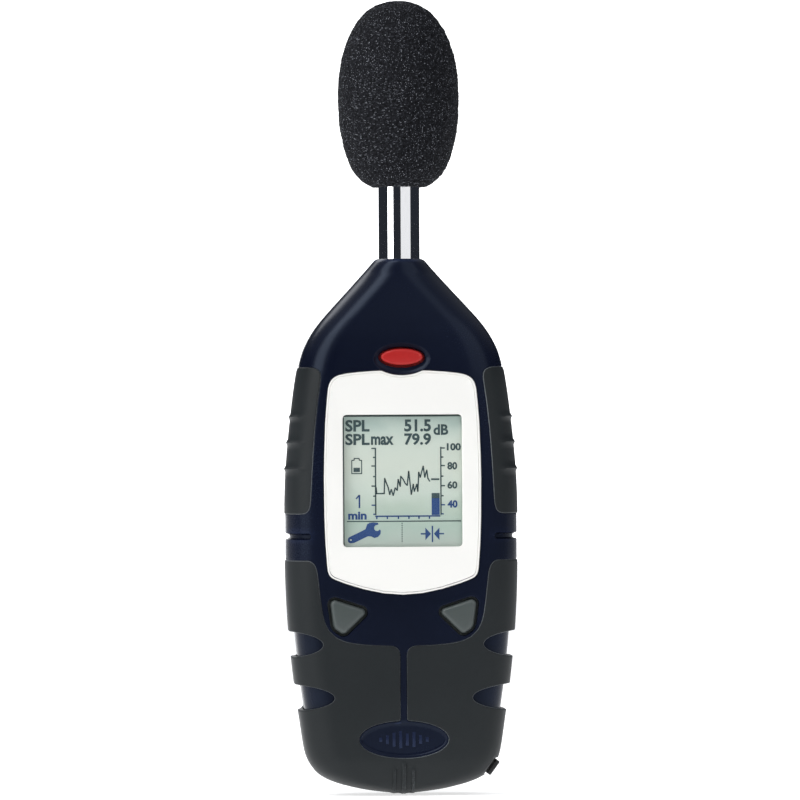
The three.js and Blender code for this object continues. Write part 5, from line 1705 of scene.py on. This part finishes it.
def flap_height(q):
    d = signed(q, flap_out)
    h = 1.2 - rounding(d, 0.35)
    h -= 0.5 * np.clip(1 - np.abs(q[:, 0] + 6.5) / 0.45, 0, 1) * np.clip((1.7 - np.abs(q[:, 1])) / 0.3, 0, 1)
    return h


lines = []
for yy in (-6.95, -6.5, -6.05):
    lines.append((np.stack([np.full(16, yy), np.linspace(-1.9, 1.9, 16)], 1), False))
v, f = sheet(flap_out, [], rings(flap_out, [-0.07, -0.16, -0.35]) + lines, 0.6, flap_height, 0.12, PortPlane())
plug = thin_out(resample(rounded(-6.3, 6.3, -1.8, 1.8, 0.6, 5), 0.5), 0.08)
pv, pf = sheet(plug, [], rings(plug, [-0.1]), 1.2, lambda q: np.full(len(q), 0.15), -0.28, PortPlane())
web_v, web_f = block(0.12, 0.48, 6.3, 7.5, -1.8, 1.8, 0.1)
ob = mm_object("port_flap_rubber", MAT["black_rubber"], [(v / MM, f), (pv / MM, pf), (web_v @ PORT[:3, :3].T + PORT[:3, 3], web_f)], 45)
finish_piece(ob, "port_flap_body", "port_flap")
anchor = block(-2.1, 0.85, 7.8, 9.6, -1.8, 1.8, 0.3)
ob = mm_object("port_flap_strap", MAT["black_rubber"], [anchor], 45, PORT)
finish_piece(ob, "case", "port_flap_anchor")

# ------------------------------------------------------------------ carried-over pieces get their finish
slot_of = {s["node"]: s["material_slot"] for s in frame["record"]["subparts"]}
for name, node in frame["nodes"].items():
    mat = MAT[slot_of[name]]
    node.data.materials.clear()
    node.data.materials.append(mat)

# ------------------------------------------------------------------ stage and light
def stage_material(name, near, far, y_near, y_far, emit_near, emit_far):
    """Pale matt paper; its tone falls off from one place on the floor to another, and so does its glow, which paints
    light onto the floor near the object.
    """
    m, nt, bsdf = new_material(name)
    tc = nt.nodes.new("ShaderNodeTexCoord")
    sep = nt.nodes.new("ShaderNodeSeparateXYZ")
    nt.links.new(tc.outputs["Object"], sep.inputs[0])
    f = maprange(nt, sep.outputs[1], y_near, y_far, 0.0, 1.0)
    paper = noise(nt, coords(nt), 0.4, 3)
    f2 = math_node(nt, "ADD", f, maprange(nt, paper, 0.3, 0.7, 0.0, 0.01), clamp=True)
    nt.links.new(ramp(nt, f2, [(0.0, near), (1.0, far)]), bsdf.inputs["Base Color"])
    nt.links.new(maprange(nt, f, 0.0, 1.0, emit_near, emit_far), bsdf.inputs["Emission Strength"])
    bsdf.inputs["Emission Color"].default_value = (1, 1, 1, 1)
    bsdf.inputs["Roughness"].default_value = 0.9
    bsdf.inputs["Specular IOR Level"].default_value = 0.1
    return m


# painted light: the floor is pale and glows near the object, and turns grey with almost no glow further out
floor = make_object("floor", [(-15, -15, -0.0004), (15, -15, -0.0004), (15, 15, -0.0004), (-15, 15, -0.0004)], [(0, 1, 2, 3)],
                    stage_material("floor_paper_painted_glow", (0.9, 0.9, 0.9), (0.42, 0.42, 0.43), -0.05, -0.7, 0.66, 0.03), smooth=False)
wall = make_object("backdrop", [(-0.26, 3.4, 0), (0.56, 3.4, 0), (0.56, 3.4, 1.4), (-0.26, 3.4, 1.4)], [(0, 1, 2, 3)],
                   stage_material("backdrop_paper", (0.9, 0.9, 0.9), (0.9, 0.9, 0.9), 0, 1, 1.0, 1.0), smooth=False)

world = bpy.data.worlds.new("studio")
scene.world = world
world.use_nodes = True
wt = world.node_tree
bg = wt.nodes["Background"]
tc = wt.nodes.new("ShaderNodeTexCoord")
sep = wt.nodes.new("ShaderNodeSeparateXYZ")
wt.links.new(tc.outputs["Generated"], sep.inputs[0])
wt.links.new(ramp(wt, maprange(wt, sep.outputs[2], 0.25, 0.8, 0.0, 1.0), [(0.0, (0.02, 0.023, 0.03)), (1.0, (0.50, 0.52, 0.55))]), bg.inputs[0])
bg.inputs[1].default_value = 1.0


def area_light(name, at, target, size, power, color=(1, 1, 1), shape="RECTANGLE"):
    ld = bpy.data.lights.new(name, "AREA")
    ld.shape = shape
    ld.size, ld.size_y = size
    ld.energy = power
    ld.color = color
    ob = bpy.data.objects.new(name, ld)
    scene.collection.objects.link(ob)
    ob.location = at
    ob.rotation_euler = (Vector(target) - Vector(at)).to_track_quat("-Z", "Y").to_euler()
    return ob


def around(az, dist, z):
    """A place az degrees to the right of the camera, round the object."""
    a = math.radians(az)
    return (math.sin(a) * dist, -math.cos(a) * dist, z)


area_light("key_left", around(-52, 1.0, 0.66), (0, 0, 0.66), (0.60, 1.1), 7.0)
area_light("panel_right", around(36, 1.0, 0.70), (0, 0, 0.70), (1.10, 1.05), 3.3)
area_light("top_left", (-0.45, -0.55, 1.2), (0, 0, 0.12), (0.7, 0.5), 4.4)
area_light("back_soft", (-0.45, 0.85, 0.95), (0, 0, 0.1), (0.8, 0.5), 3.5)

scene.view_settings.view_transform = "Standard"
scene.view_settings.look = "None"
